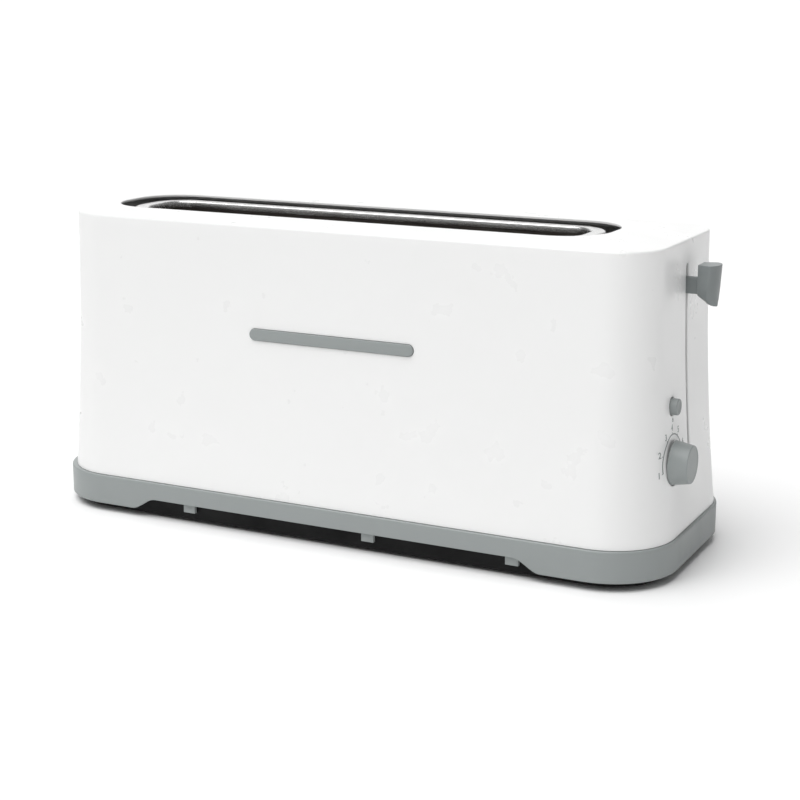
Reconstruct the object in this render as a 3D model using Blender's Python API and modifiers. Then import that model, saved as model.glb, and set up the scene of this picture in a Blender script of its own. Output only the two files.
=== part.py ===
"""A long single-slot toaster, built as an assembly of separate pieces.

Units are metres. X runs along the toaster towards the lever, -Y is the front and +Z is up.
Every piece hangs from one empty, which puts the origin under the middle of the whole outline.
"""

import math

import bmesh
import bpy
from mathutils import Matrix, Vector

# Fits
GAP = 0.0003  # between pieces that touch
RUNNING_GAP = 0.0006  # round a piece that moves
CORNER_STEPS = 6  # facets in each rounded corner
ROUND_SIDES = 16  # facets round a small turned piece
OVERLAP = 0.0001  # keeps faces apart where two solids are joined
PAST = 0.002  # how far a cutter goes past what it cuts

# Base ring and pan
BASE_LENGTH = 0.400
BASE_WIDTH = 0.150
BASE_CORNER = 0.0407
BASE_CLEARANCE = 0.005  # floor to the ring's lowest edge
BASE_TOP = 0.0232  # floor to the ring's upper face
RING_WALL = 0.0047
RING_EDGE = 0.0008
ARCH_RISE = 0.0075  # how far the arch lifts the ring's underside
ARCH_FLAT = 0.118  # half the length of the arch's flat middle
ARCH_RAMP = 0.018  # length of each S-shaped end
CLIP_PLACES = (-0.0945, 0.0275, 0.1175)  # along the front edge
CLIP_SIZE = (0.0080, 0.0025, 0.0055)
PAN_FLOOR = 0.0020  # floor to the pan's underside
PAN_WALL = 0.0025
FOOT_RADIUS = 0.010
FOOT_STEM_RADIUS = 0.003
FOOT_INSET = (0.022, 0.029)  # foot centre from the ring's end and side
VENT_SIZE = (0.034, 0.003)
VENT_PITCH = 0.008
VENT_COUNT = 5

# Outer shell
BODY_HEIGHT = 0.1843  # floor to the shoulder
CROWN = 0.0020  # shoulder to the rim of the opening
SHELL_WALL = 0.0025
FOOT_REVEAL = 0.0018  # how far the ring stands out past the shell
FLARE_END = 0.0095
FLARE_LEFT = 0.0075
FLARE_SIDE = 0.0088
SHOULDER_CORNER = 0.027
FOOT_CORNER = 0.038
SHOULDER_EDGE = 0.0013
SHELL_LEVELS = 7
LIP_DEPTH = 0.0032
LEVER_SLOT_WIDTH = 0.0040
TRIM_LENGTH = 0.1065
TRIM_HEIGHT = 0.0068
TRIM_THICKNESS = 0.0022
TRIM_PROUD = 0.0011
TRIM_BELOW_SHOULDER = 0.0636

# Toasting chamber
COMPARTMENT = 0.0577  # from the right end plate to the shoulder
LEFT_MARGIN = 0.0257  # from the left end plate to the shoulder
SLOT_HALF_WIDTH = 0.021
SLOT_CORNER = 0.015
SLOT_STRETCH = 1.25  # how much faster its outline grows along X than along Y
SLOT_END_MARGIN = 0.002  # slot to the inner face of an end plate
FRAME_FLANGE = 0.007  # width of the slot frame's bright upper face
FRAME_SHEET = 0.0008
FRAME_SKIRT = 0.014
FRAME_LIP = 0.003  # height of the turned-down outer lip
FRAME_BELOW_RIM = 0.0024
VENT_GAP = 0.007  # open gap round the slot frame
PLATE_SHEET = 0.0012
PLATE_MARGIN = 0.004  # end plate to the shell's side walls
EAR_LENGTH = 0.015
EAR_WIDTH = 0.016
EAR_INSET = 0.010  # ear centre from the plate's side
EAR_HOLE_SHARE = 0.6  # how far along its ear each screw sits
PLATE_CORNER = 0.006
REFLECTOR_SHEET = 0.0008
REFLECTOR_FLANGE = 0.008
REFLECTOR_BEHIND = 0.006  # heater card to reflector
CARD_THICKNESS = 0.0010
CARD_BEHIND = 0.0075  # bread guard to heater card
CARD_MARGIN = 0.011  # below the end plate's top
CARD_BOTTOM = 0.034
HEATER_WIRE_RADIUS = 0.0006
HEATER_PASSES = 22
GUARD_WIRE_RADIUS = 0.0010
GUARD_PITCH = 0.018
GUARD_PIVOT_Z = 0.024
GUARD_INSIDE_SKIRT = 0.0005
GUARD_END_MARGIN = 0.012

# Bread carriage and lever
LEVER_TRAVEL = 0.088
LEVER_BELOW_SHOULDER = 0.0253  # middle of the lever's arm at rest
SLOT_ABOVE_LEVER = 0.0120
SLOT_BELOW_TRAVEL = 0.004
ARM_HEIGHT = 0.0095
ARM_THICKNESS = 0.0028
RACK_LOW = 0.023  # top of the rack when the lever is down
SLIDER_BELOW_RACK = 0.007
SPINE_HEIGHT = 0.008
SPINE_THICKNESS = 0.0024
TOOTH_LENGTH = 0.022
TOOTH_WIDTH = 0.0024
TOOTH_PITCH = 0.019
ROD_RADIUS = 0.003
ROD_FROM_PLATE = 0.022
SLIDER_SHEET = 0.002
SLIDER_LUG = (0.007, 0.007)  # half-sizes of each lug in X and Y
SLIDER_LUG_HEIGHT = 0.012
SLIDER_PLATE_HALF_WIDTH = 0.009
SPRING_RADIUS = 0.0035
SPRING_WIRE_RADIUS = 0.0005
SPRING_TURNS = 14
SPRING_Y = -0.016
CATCH_Y = 0.022
CATCH_THICKNESS = 0.002
CATCH_ABOVE_LUG = 0.016  # catch ear above the slider's lower edge
PADDLE_INNER = 0.0077  # paddle's inner face out from the shoulder
PADDLE_DEPTH = 0.0116
PADDLE_TAPER = 0.0014  # how much less deep the paddle is at its lower end
PADDLE_HALF_WIDTH = 0.0083
PADDLE_INNER_HALF_WIDTH = 0.0060
PADDLE_ROUND = 0.0050  # depth of the rounded outer side
PADDLE_SLOPE = (0.0010, 0.0146)  # underside slope, out from the inner face at its ends
PADDLE_TONGUE = 0.012  # height of the rounded lower end
PADDLE_ABOVE_LEVER = 0.0123
PADDLE_BELOW_LEVER = 0.0110
NECK_INSIDE = 0.0022  # neck's inner end in from the shoulder

# Controls on the end wall
BUTTON_Y = -0.0272
BUTTON_Z = 0.0960
BUTTON_RADIUS = 0.0046
BUTTON_PROUD = 0.0040
BUTTON_FLANGE = (0.0062, 0.0016)  # radius and thickness
BUTTON_STEM_RADIUS = 0.0025
BUTTON_TRAVEL = 0.0020
BUTTON_BEHIND = 0.0014  # flange to the inside of the wall
KNOB_Y = -0.0288
KNOB_Z = 0.065
KNOB_RADIUS = 0.0125
KNOB_FACE_RADIUS = 0.0107
KNOB_DEPTH = 0.0106
KNOB_SHAFT_RADIUS = 0.003

# Electrical pieces in the compartment
BOARD_FROM_SHOULDER = 0.0167
BOARD_THICKNESS = 0.0016
BOARD_NEAR_Y = -0.006
BOARD_WIDTH = 0.048
BOARD_BOTTOM = 0.038
BOARD_HEIGHT = 0.090
SWITCH_DEPTH = 0.006
DIAL_DEPTH = 0.0085
COIL_RADIUS = 0.008
COIL_CLEARANCE = 0.0004  # catch plate to the pole at the bottom of its travel
GLAND_RADIUS = 0.0052
GLAND_FLANGE_RADIUS = 0.0068
GLAND_BORE = 0.0036
GLAND_Z = 0.0140
GLAND_FROM_END = 0.050
SCREW_RADIUS = 0.0015
SCREW_HEAD_RADIUS = 0.003
SCREW_HEAD_HEIGHT = 0.0014
SCREW_LENGTH = 0.0075

# Crumb tray
TRAY_HALF_LENGTH = 0.112
TRAY_SHEET = 0.0010
TRAY_DEPTH = 0.0050
TRAY_FRONT_MARGIN = 0.012  # inside the pan's front wall
TRAY_HANDLE = (0.060, 0.0022)  # length and thickness

# Worked out from the values above
SHOULDER_X = BASE_LENGTH / 2 - FOOT_REVEAL - FLARE_END
SHOULDER_Y = BASE_WIDTH / 2 - FOOT_REVEAL - FLARE_SIDE
CHAMBER_END = SHOULDER_X - COMPARTMENT
CHAMBER_START = LEFT_MARGIN - SHOULDER_X
CHAMBER_MIDDLE = (CHAMBER_START + CHAMBER_END) / 2
SLOT_HALF_LENGTH = (CHAMBER_END - CHAMBER_START) / 2 - SLOT_END_MARGIN
RIM_Z = BODY_HEIGHT + CROWN
FRAME_TOP = RIM_Z - FRAME_BELOW_RIM
PLATE_TOP = FRAME_TOP - FRAME_SKIRT - GAP
PLATE_HALF_WIDTH = SHOULDER_Y - SHELL_WALL - PLATE_MARGIN
PAN_INSET = RING_WALL + GAP
PAN_TOP = BASE_TOP - GAP
PAN_INSIDE = PAN_FLOOR + PAN_WALL
STANDING_Z = PAN_INSIDE + GAP
GUARD_Y = SLOT_HALF_WIDTH - GUARD_INSIDE_SKIRT
CARD_Y = GUARD_Y + CARD_BEHIND
REFLECTOR_Y = CARD_Y + REFLECTOR_BEHIND
ROD_X = CHAMBER_END + ROD_FROM_PLATE
SLIDER_BACK = ROD_X - SLIDER_LUG[0] - SLIDER_SHEET
SLIDER_FRONT = ROD_X + SLIDER_LUG[0]
RACK_TOP = RACK_LOW + LEVER_TRAVEL
LEVER_Z = BODY_HEIGHT - LEVER_BELOW_SHOULDER
LEVER_SLOT_TOP = LEVER_Z + SLOT_ABOVE_LEVER
PADDLE_TOP = LEVER_Z + PADDLE_ABOVE_LEVER
PADDLE_BOTTOM = LEVER_Z - PADDLE_BELOW_LEVER
TRIM_CENTRE_Z = BODY_HEIGHT - TRIM_BELOW_SHOULDER
SLIDER_BOTTOM = RACK_TOP - SPINE_HEIGHT - SLIDER_BELOW_RACK
SLIDER_TOP = LEVER_Z + SLIDER_LUG_HEIGHT / 2
CATCH_EAR_Z = SLIDER_BOTTOM + CATCH_ABOVE_LUG
CATCH_BOTTOM = CATCH_EAR_Z - GAP - CATCH_THICKNESS
POLE_TOP = CATCH_BOTTOM - LEVER_TRAVEL - COIL_CLEARANCE
BRACKET_Z = PLATE_TOP + GAP
PADDLE_X = SHOULDER_X + PADDLE_INNER
NECK_START = SHOULDER_X - NECK_INSIDE
BOARD_X = SHOULDER_X - BOARD_FROM_SHOULDER
BOARD_FACE = BOARD_X + BOARD_THICKNESS
BOARD_FAR_Y = BOARD_NEAR_Y - BOARD_WIDTH
TRAY_BOTTOM = PAN_INSIDE + RUNNING_GAP
TRAY_TOP = TRAY_BOTTOM + TRAY_DEPTH
PAN_SIDE = BASE_WIDTH / 2 - PAN_INSET
CENTRE_SHIFT = (PADDLE_X + PADDLE_DEPTH - BASE_LENGTH / 2) / 2

ALONG_X = Matrix(((0, 0, 1, 0), (1, 0, 0, 0), (0, 1, 0, 0), (0, 0, 0, 1)))  # outline in Y and Z
ALONG_Y = Matrix.Rotation(math.pi / 2, 4, "X")  # outline in X and Z, facing the front


# Scene and materials


def clear_scene():
    for old in list(bpy.data.objects):
        bpy.data.objects.remove(old, do_unlink=True)


def new_collection(name):
    collection = bpy.data.collections.new(name)
    bpy.context.scene.collection.children.link(collection)
    return collection


clear_scene()
PARTS = new_collection("toaster")
HELPERS = new_collection("cutters")
ROOT = bpy.data.objects.new("toaster_origin", None)
ROOT.location.x = -CENTRE_SHIFT
PARTS.objects.link(ROOT)


def material(name, colour, roughness, metallic=0.0):
    made = bpy.data.materials.new(name)
    made.use_nodes = True
    shader = made.node_tree.nodes["Principled BSDF"]
    shader.inputs["Base Color"].default_value = (*colour, 1.0)
    shader.inputs["Roughness"].default_value = roughness
    shader.inputs["Metallic"].default_value = metallic
    return made


WHITE = material("gloss_white", (0.86, 0.86, 0.85), 0.18)
GREY = material("satin_grey", (0.33, 0.36, 0.355), 0.35)
DARK_GREY = material("dark_grey", (0.16, 0.175, 0.175), 0.35)
BLACK = material("black_plastic", (0.02, 0.02, 0.02), 0.5)
BRIGHT_STEEL = material("bright_steel", (0.75, 0.75, 0.74), 0.22, 1.0)
ZINC_STEEL = material("zinc_steel", (0.55, 0.56, 0.57), 0.4, 1.0)
MICA = material("mica", (0.62, 0.55, 0.42), 0.45)
HEATER_ALLOY = material("heater_alloy", (0.35, 0.33, 0.31), 0.4, 1.0)
COPPER = material("copper", (0.72, 0.38, 0.22), 0.35, 1.0)
BOARD_GREEN = material("board_laminate", (0.20, 0.26, 0.10), 0.45)
CERAMIC = material("ceramic", (0.80, 0.78, 0.72), 0.6)
BLUE_SLEEVE = material("blue_sleeve", (0.05, 0.09, 0.22), 0.4)
RUBBER = material("rubber", (0.04, 0.04, 0.04), 0.85)


# Shape helpers


def add(name, mesh, finish=None):
    """A named piece, or a hidden helper where no finish is given."""
    piece = bpy.data.objects.new(name, mesh)
    piece.parent = ROOT
    if finish is None:
        HELPERS.objects.link(piece)
        piece.hide_render = True
        piece.display_type = "WIRE"
        return piece
    PARTS.objects.link(piece)
    mesh.materials.append(finish)
    return piece


def finish_mesh(name, work, smooth=True):
    bmesh.ops.recalc_face_normals(work, faces=work.faces)
    mesh = bpy.data.meshes.new(name)
    work.to_mesh(mesh)
    work.free()
    if smooth:
        mesh.shade_smooth()
        mesh.set_sharp_from_angle(angle=math.radians(35))
    return mesh


def rounded_rectangle(half_x, half_y, radius, centre_x=0.0, centre_y=0.0, steps=CORNER_STEPS):
    """Points round a rounded rectangle, always starting at the same corner."""
    points = []
    for quarter, (sign_x, sign_y) in enumerate(((1, 1), (-1, 1), (-1, -1), (1, -1))):
        for step in range(steps + 1):
            angle = math.pi / 2 * (quarter + step / steps)
            x = centre_x + sign_x * (half_x - radius) + radius * math.cos(angle)
            y = centre_y + sign_y * (half_y - radius) + radius * math.sin(angle)
            points.append((x, y))
    return points


def circle(radius, centre_x=0.0, centre_y=0.0, sides=ROUND_SIDES):
    angles = [2 * math.pi * step / sides for step in range(sides)]
    return [(centre_x + radius * math.cos(a), centre_y + radius * math.sin(a)) for a in angles]


def mixed(first, second, share):
    return [tuple(a + (b - a) * share for a, b in zip(p, q)) for p, q in zip(first, second)]


def loft(name, sections, finish=None, ring=False):
    """A skin through (outline, height) sections. A ring joins its last section to its first."""
    work = bmesh.new()
    rows = [[work.verts.new((x, y, height)) for x, y in points] for points, height in sections]
    pairs = list(zip(rows, rows[1:]))
    if ring:
        pairs.append((rows[-1], rows[0]))
    else:
        work.faces.new(rows[0])
        work.faces.new(rows[-1])
    for lower, upper in pairs:
        count = len(lower)
        for i in range(count):
            j = (i + 1) % count
            work.faces.new((lower[i], lower[j], upper[j], upper[i]))
    return add(name, finish_mesh(name, work), finish)


def boxes(name, corners, finish=None):
    """One mesh of boxes, each given by its low and high corners."""
    work = bmesh.new()
    for low, high in corners:
        low, high = Vector(low), Vector(high)
        size = Matrix.Diagonal((*(high - low), 1.0))
        bmesh.ops.create_cube(work, size=1.0, matrix=Matrix.Translation((low + high) / 2) @ size)
    return add(name, finish_mesh(name, work, smooth=False), finish)


def box(name, low, high, finish=None):
    return boxes(name, [(low, high)], finish)


def cylinder(name, start, end, radius, finish=None, sides=ROUND_SIDES):
    start, end = Vector(start), Vector(end)
    turn = (end - start).to_track_quat("Z", "Y").to_matrix().to_4x4()
    work = bmesh.new()
    bmesh.ops.create_cone(
        work,
        cap_ends=True,
        segments=sides,
        radius1=radius,
        radius2=radius,
        depth=(end - start).length,
        matrix=Matrix.Translation((start + end) / 2) @ turn,
    )
    return add(name, finish_mesh(name, work), finish)


def turned(name, profile, place, finish=None, along_x=False, hollow=False):
    """A profile of (radius, height) points turned about its axis, listed from the top down."""
    mesh = bpy.data.meshes.new(name)
    edges = [(i, i + 1) for i in range(len(profile) - 1)]
    if hollow:
        edges.append((len(profile) - 1, 0))
    mesh.from_pydata([(radius, 0.0, height) for radius, height in profile], edges, [])
    piece = add(name, mesh, finish)
    piece.location = place
    if along_x:
        piece.rotation_euler.y = math.pi / 2
    screw = piece.modifiers.new("turn", "SCREW")
    screw.steps = ROUND_SIDES
    screw.render_steps = ROUND_SIDES
    screw.use_merge_vertices = True
    screw.merge_threshold = 0.00001
    screw.use_smooth_shade = True
    return piece


def mesh_of(curve_piece):
    """The curve's own solid, with its caps welded on."""
    bpy.context.view_layer.update()
    graph = bpy.context.evaluated_depsgraph_get()
    mesh = bpy.data.meshes.new_from_object(curve_piece.evaluated_get(graph))
    work = bmesh.new()
    work.from_mesh(mesh)
    bmesh.ops.remove_doubles(work, verts=work.verts, dist=0.000001)
    bmesh.ops.recalc_face_normals(work, faces=work.faces)
    work.to_mesh(mesh)
    work.free()
    bpy.data.objects.remove(curve_piece, do_unlink=True)
    return mesh


def extruded(name, outlines, thickness, place, finish=None):
    """A flat outline, with any holes in it, given a thickness and put in place."""
    curve = bpy.data.curves.new(name, "CURVE")
    curve.dimensions = "2D"
    curve.fill_mode = "BOTH"
    curve.extrude = thickness / 2
    for points in outlines:
        spline = curve.splines.new("POLY")
        spline.points.add(len(points) - 1)
        for point, (x, y) in zip(spline.points, points):
            point.co = (x, y, 0.0, 1.0)
        spline.use_cyclic_u = True
    flat = bpy.data.objects.new(name + "_outline", curve)
    HELPERS.objects.link(flat)
    mesh = mesh_of(flat)
    mesh.transform(place)
    return add(name, mesh, finish)


def wire(name, points, radius, finish, resolution=1):
    curve = bpy.data.curves.new(name, "CURVE")
    curve.dimensions = "3D"
    curve.bevel_depth = radius
    curve.bevel_resolution = resolution
    curve.use_fill_caps = True
    spline = curve.splines.new("POLY")
    spline.points.add(len(points) - 1)
    for point, place in zip(spline.points, points):
        point.co = (*place, 1.0)
    return add(name, curve, finish)


def combine(piece, operation, *others):
    for other in others:
        modifier = piece.modifiers.new(other.name, "BOOLEAN")
        modifier.operation = operation
        modifier.object = other
        modifier.solver = "EXACT"
    return piece


def cut(piece, *cutters):
    return combine(piece, "DIFFERENCE", *cutters)


def join(piece, *additions):
    return combine(piece, "UNION", *additions)


def pivot_at(piece, place):
    """Moves the origin, and not the shape, to a point on the piece's joint axis."""
    piece.data.transform(Matrix.Translation(-Vector(place)))
    piece.location = place
    return piece


# Outline of the housing at any height


def flare(height):
    """Share of the outward flare: none at the shoulder, all of it at the ring."""
    share = (BODY_HEIGHT - height) / (BODY_HEIGHT - BASE_TOP)
    return 0.05 * share + 0.95 * share**2


def wall_x(height):
    return SHOULDER_X + FLARE_END * flare(height)


def wall_y(height):
    return SHOULDER_Y + FLARE_SIDE * flare(height)


def body_outline(height, inset=0.0):
    right, left = wall_x(height), SHOULDER_X + FLARE_LEFT * flare(height)
    corner = SHOULDER_CORNER + (FOOT_CORNER - SHOULDER_CORNER) * flare(height)
    half_x, half_y = (right + left) / 2 - inset, wall_y(height) - inset
    return rounded_rectangle(half_x, half_y, corner - inset, (right - left) / 2)


def base_outline(inset=0.0):
    return rounded_rectangle(BASE_LENGTH / 2 - inset, BASE_WIDTH / 2 - inset, BASE_CORNER - inset)


def slot_outline(outset):
    """The bread slot's outline, made larger all round."""
    half_x, half_y = SLOT_HALF_LENGTH + outset * SLOT_STRETCH, SLOT_HALF_WIDTH + outset
    return rounded_rectangle(half_x, half_y, SLOT_CORNER + outset, CHAMBER_MIDDLE)


# Housing


def shell_sections():
    bottom = BASE_TOP + GAP
    top = BODY_HEIGHT - SHOULDER_EDGE
    levels = [bottom + (top - bottom) * i / (SHELL_LEVELS - 1) for i in range(SHELL_LEVELS)]
    sections = [(body_outline(z), z) for z in levels]
    for angle in (math.pi / 6, math.pi / 3, math.pi / 2):
        inset = SHOULDER_EDGE * (1 - math.cos(angle))
        sections.append((body_outline(top, inset), top + SHOULDER_EDGE * math.sin(angle)))
    rim = slot_outline(FRAME_FLANGE + VENT_GAP)
    for share in (0.3, 0.65, 1.0):
        points = mixed(body_outline(top, SHOULDER_EDGE), rim, share)
        sections.append((points, BODY_HEIGHT + CROWN * math.sin(share * math.pi / 2)))
    lip_back = slot_outline(FRAME_FLANGE + VENT_GAP + SHELL_WALL)
    sections.append((rim, RIM_Z - LIP_DEPTH))
    sections.append((lip_back, RIM_Z - LIP_DEPTH))
    sections.append((lip_back, RIM_Z - SHELL_WALL))
    levels[-1] = BODY_HEIGHT - SHELL_WALL
    sections += [(body_outline(z, SHELL_WALL), z) for z in reversed(levels)]
    return sections


def trim_place(depth):
    """Puts an outline on the front wall, leaning with it, its middle this far out."""
    step = 0.001
    lean = math.atan((wall_y(TRIM_CENTRE_Z - step) - wall_y(TRIM_CENTRE_Z + step)) / (2 * step))
    wall = Matrix.Translation((0.0, -wall_y(TRIM_CENTRE_Z), TRIM_CENTRE_Z))
    return wall @ Matrix.Rotation(math.pi / 2 - lean, 4, "X") @ Matrix.Translation((0, 0, depth))


def trim_outline(outset=0.0):
    half = TRIM_HEIGHT / 2 + outset
    return rounded_rectangle(TRIM_LENGTH / 2 + outset, half, half)


def make_housing():
    shell = loft("outer_shell", shell_sections(), WHITE, ring=True)
    slot_low = LEVER_Z - ARM_HEIGHT / 2 - LEVER_TRAVEL - SLOT_BELOW_TRAVEL
    slot_middle = (LEVER_SLOT_TOP + slot_low) / 2
    half = LEVER_SLOT_WIDTH / 2
    outline = rounded_rectangle(half, LEVER_SLOT_TOP - slot_middle, half, 0.0, slot_middle)
    through = 4 * (FLARE_END + SHELL_WALL)
    lever_slot = extruded(
        "lever_slot_cutter", [outline], through, Matrix.Translation((SHOULDER_X, 0, 0)) @ ALONG_X
    )
    holes = [
        ("button_hole", BUTTON_Y, BUTTON_Z, BUTTON_RADIUS + RUNNING_GAP, SHOULDER_X - through / 2),
        ("knob_hole", KNOB_Y, KNOB_Z, KNOB_SHAFT_RADIUS + RUNNING_GAP, SHOULDER_X - through / 2),
        ("knob_recess", KNOB_Y, KNOB_Z, KNOB_RADIUS + RUNNING_GAP, wall_x(KNOB_Z)),
    ]
    cutters = [lever_slot]
    for name, y, z, radius, start in holes:
        cutters.append(cylinder(name, (start, y, z), (SHOULDER_X + through / 2, y, z), radius))
    pocket = TRIM_THICKNESS - TRIM_PROUD + GAP
    cutters.append(
        extruded("trim_pocket", [trim_outline(GAP)], 2 * pocket, trim_place(0.0)),
    )
    cut(shell, *cutters)
    middle = TRIM_PROUD - TRIM_THICKNESS / 2
    extruded("trim_bar", [trim_outline()], TRIM_THICKNESS, trim_place(middle), GREY)


def arch_outline():
    """The arch under the ring: a flat middle with an S-shaped ramp at each end."""
    top = BASE_CLEARANCE + ARCH_RISE
    ramp = []
    for step in range(7):
        share = step / 6
        rise = ARCH_RISE * (1 + math.cos(math.pi * share)) / 2
        ramp.append((ARCH_FLAT + ARCH_RAMP * share, top - ARCH_RISE + rise))
    floor = BASE_CLEARANCE - PAST
    ramp.append((ramp[-1][0], floor))
    return ramp + [(-x, z) for x, z in reversed(ramp)]


def make_base():
    ring = loft(
        "base_ring",
        [
            (base_outline(RING_EDGE), BASE_CLEARANCE),
            (base_outline(), BASE_CLEARANCE + RING_EDGE),
            (base_outline(), BASE_TOP - RING_EDGE),
            (base_outline(RING_EDGE / 3), BASE_TOP - RING_EDGE / 3),
            (base_outline(RING_EDGE), BASE_TOP),
            (base_outline(RING_WALL), BASE_TOP),
            (base_outline(RING_WALL), BASE_CLEARANCE),
        ],
        GREY,
        ring=True,
    )
    cut(ring, extruded("arch_cutter", [arch_outline()], BASE_WIDTH + 0.01, ALONG_Y))
    length, depth, drop = CLIP_SIZE
    inner = BASE_WIDTH / 2 - RING_WALL
    under = BASE_CLEARANCE + ARCH_RISE
    clips = []
    for x in CLIP_PLACES:
        low = (x - length / 2, -inner - depth, under - drop)
        clips.append((low, (x + length / 2, -inner - OVERLAP, under + PAST)))
    join(ring, boxes("ring_clips", clips))

    pan = loft(
        "base_pan",
        [
            (base_outline(PAN_INSET + RING_EDGE), PAN_FLOOR),
            (base_outline(PAN_INSET), PAN_FLOOR + RING_EDGE),
            (base_outline(PAN_INSET), PAN_TOP),
            (base_outline(PAN_INSET + PAN_WALL), PAN_TOP),
            (base_outline(PAN_INSET + PAN_WALL), PAN_INSIDE),
        ],
        BLACK,
    )
    half = TRAY_HALF_LENGTH + RUNNING_GAP
    mouth_low = (-half, PAN_SIDE - PAN_WALL - PAST, PAN_INSIDE)
    cutters = [box("tray_mouth", mouth_low, (half, PAN_SIDE + PAST, TRAY_TOP + RUNNING_GAP))]
    cutters += vent_cutters()
    for i, (x, y) in enumerate(foot_places(), 1):
        foot = [
            (0.0, PAN_INSIDE),
            (FOOT_STEM_RADIUS, PAN_INSIDE),
            (FOOT_STEM_RADIUS, PAN_FLOOR - GAP),
            (FOOT_RADIUS, PAN_FLOOR - GAP),
            (FOOT_RADIUS, 0.0005),
            (FOOT_RADIUS - 0.0005, 0.0),
            (0.0, 0.0),
        ]
        turned(f"foot_{i}", foot, (x, y, 0.0), RUBBER)
        radius = FOOT_STEM_RADIUS + GAP
        cutters.append(cylinder(f"foot_hole_{i}", (x, y, 0.0), (x, y, PAN_INSIDE + PAST), radius))
    for i, (x, y) in enumerate(screw_places(), 1):
        head_z = PAN_FLOOR - GAP
        screw = [
            (0.0, head_z + SCREW_LENGTH),
            (SCREW_RADIUS, head_z + SCREW_LENGTH),
            (SCREW_RADIUS, head_z),
            (SCREW_HEAD_RADIUS, head_z),
            (SCREW_HEAD_RADIUS, head_z - SCREW_HEAD_HEIGHT / 2),
            (SCREW_HEAD_RADIUS / 2, head_z - SCREW_HEAD_HEIGHT),
            (0.0, head_z - SCREW_HEAD_HEIGHT),
        ]
        turned(f"base_screw_{i}", screw, (x, y, 0.0), ZINC_STEEL)
        cutters.append(screw_hole(f"pan_screw_hole_{i}", x, y))
    cut(pan, *cutters)
    make_gland(ring, pan)


def vent_cutters():
    length, width = VENT_SIZE
    x = (CHAMBER_END + SHOULDER_X) / 2
    vents = []
    for i in range(VENT_COUNT):
        y = (i - (VENT_COUNT - 1) / 2) * VENT_PITCH
        low = (x - length / 2, y - width / 2, PAN_FLOOR - PAST / 2)
        vents.append((low, (x + length / 2, y + width / 2, PAN_INSIDE + PAST)))
    return [boxes("vent_cutters", vents)]


def foot_places():
    x, y = BASE_LENGTH / 2 - FOOT_INSET[0], BASE_WIDTH / 2 - FOOT_INSET[1]
    return [(sign_x * x, sign_y * y) for sign_x in (-1, 1) for sign_y in (-1, 1)]


def screw_places():
    y = PLATE_HALF_WIDTH - EAR_INSET
    ends = (CHAMBER_START + EAR_LENGTH * EAR_HOLE_SHARE, CHAMBER_END + EAR_LENGTH * EAR_HOLE_SHARE)
    return [(x, sign * y) for x in ends for sign in (-1, 1)]


def screw_hole(name, x, y):
    radius = SCREW_RADIUS + GAP
    return cylinder(name, (x, y, 0.0), (x, y, STANDING_Z + 2 * PLATE_SHEET), radius)


def make_gland(ring, pan):
    """The bush in the rear wall where a mains lead would enter."""
    x = BASE_LENGTH / 2 - GLAND_FROM_END
    face = BASE_WIDTH / 2 - 0.0004
    flange = 0.0015
    inner = PAN_SIDE - PAN_WALL - 0.0015
    profile = [
        (GLAND_BORE, 0.0),
        (GLAND_FLANGE_RADIUS, 0.0),
        (GLAND_FLANGE_RADIUS, -flange),
        (GLAND_RADIUS, -flange),
        (GLAND_RADIUS, inner - face),
        (GLAND_BORE, inner - face),
    ]
    gland = turned("cord_gland", profile, (x, face, GLAND_Z), BLACK, hollow=True)
    gland.rotation_euler.x = -math.pi / 2
    outside = BASE_WIDTH / 2 + PAST
    hole = cylinder("gland_hole", (x, inner, GLAND_Z), (x, outside, GLAND_Z), GLAND_RADIUS + GAP)
    seat_start = (x, face - flange - GAP, GLAND_Z)
    seat = cylinder("gland_seat", seat_start, (x, outside, GLAND_Z), GLAND_FLANGE_RADIUS + GAP)
    cut(ring, hole, seat)
    cut(pan, hole)


# Toasting chamber


def make_slot_frame():
    """A bright pressed frame: a flat rim with a skirt down into the slot."""
    sections = [
        (slot_outline(0.0), FRAME_TOP - FRAME_SKIRT),
        (slot_outline(0.0), FRAME_TOP - FRAME_SHEET),
        (slot_outline(FRAME_SHEET), FRAME_TOP),
        (slot_outline(FRAME_FLANGE - FRAME_SHEET), FRAME_TOP),
        (slot_outline(FRAME_FLANGE), FRAME_TOP - FRAME_SHEET),
        (slot_outline(FRAME_FLANGE), FRAME_TOP - FRAME_LIP),
        (slot_outline(FRAME_FLANGE - FRAME_SHEET), FRAME_TOP - FRAME_LIP),
        (slot_outline(FRAME_FLANGE - FRAME_SHEET), FRAME_TOP - 2 * FRAME_SHEET),
        (slot_outline(FRAME_SHEET), FRAME_TOP - 2 * FRAME_SHEET),
        (slot_outline(FRAME_SHEET), FRAME_TOP - FRAME_SKIRT),
    ]
    loft("slot_frame", sections, BRIGHT_STEEL, ring=True)


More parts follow.
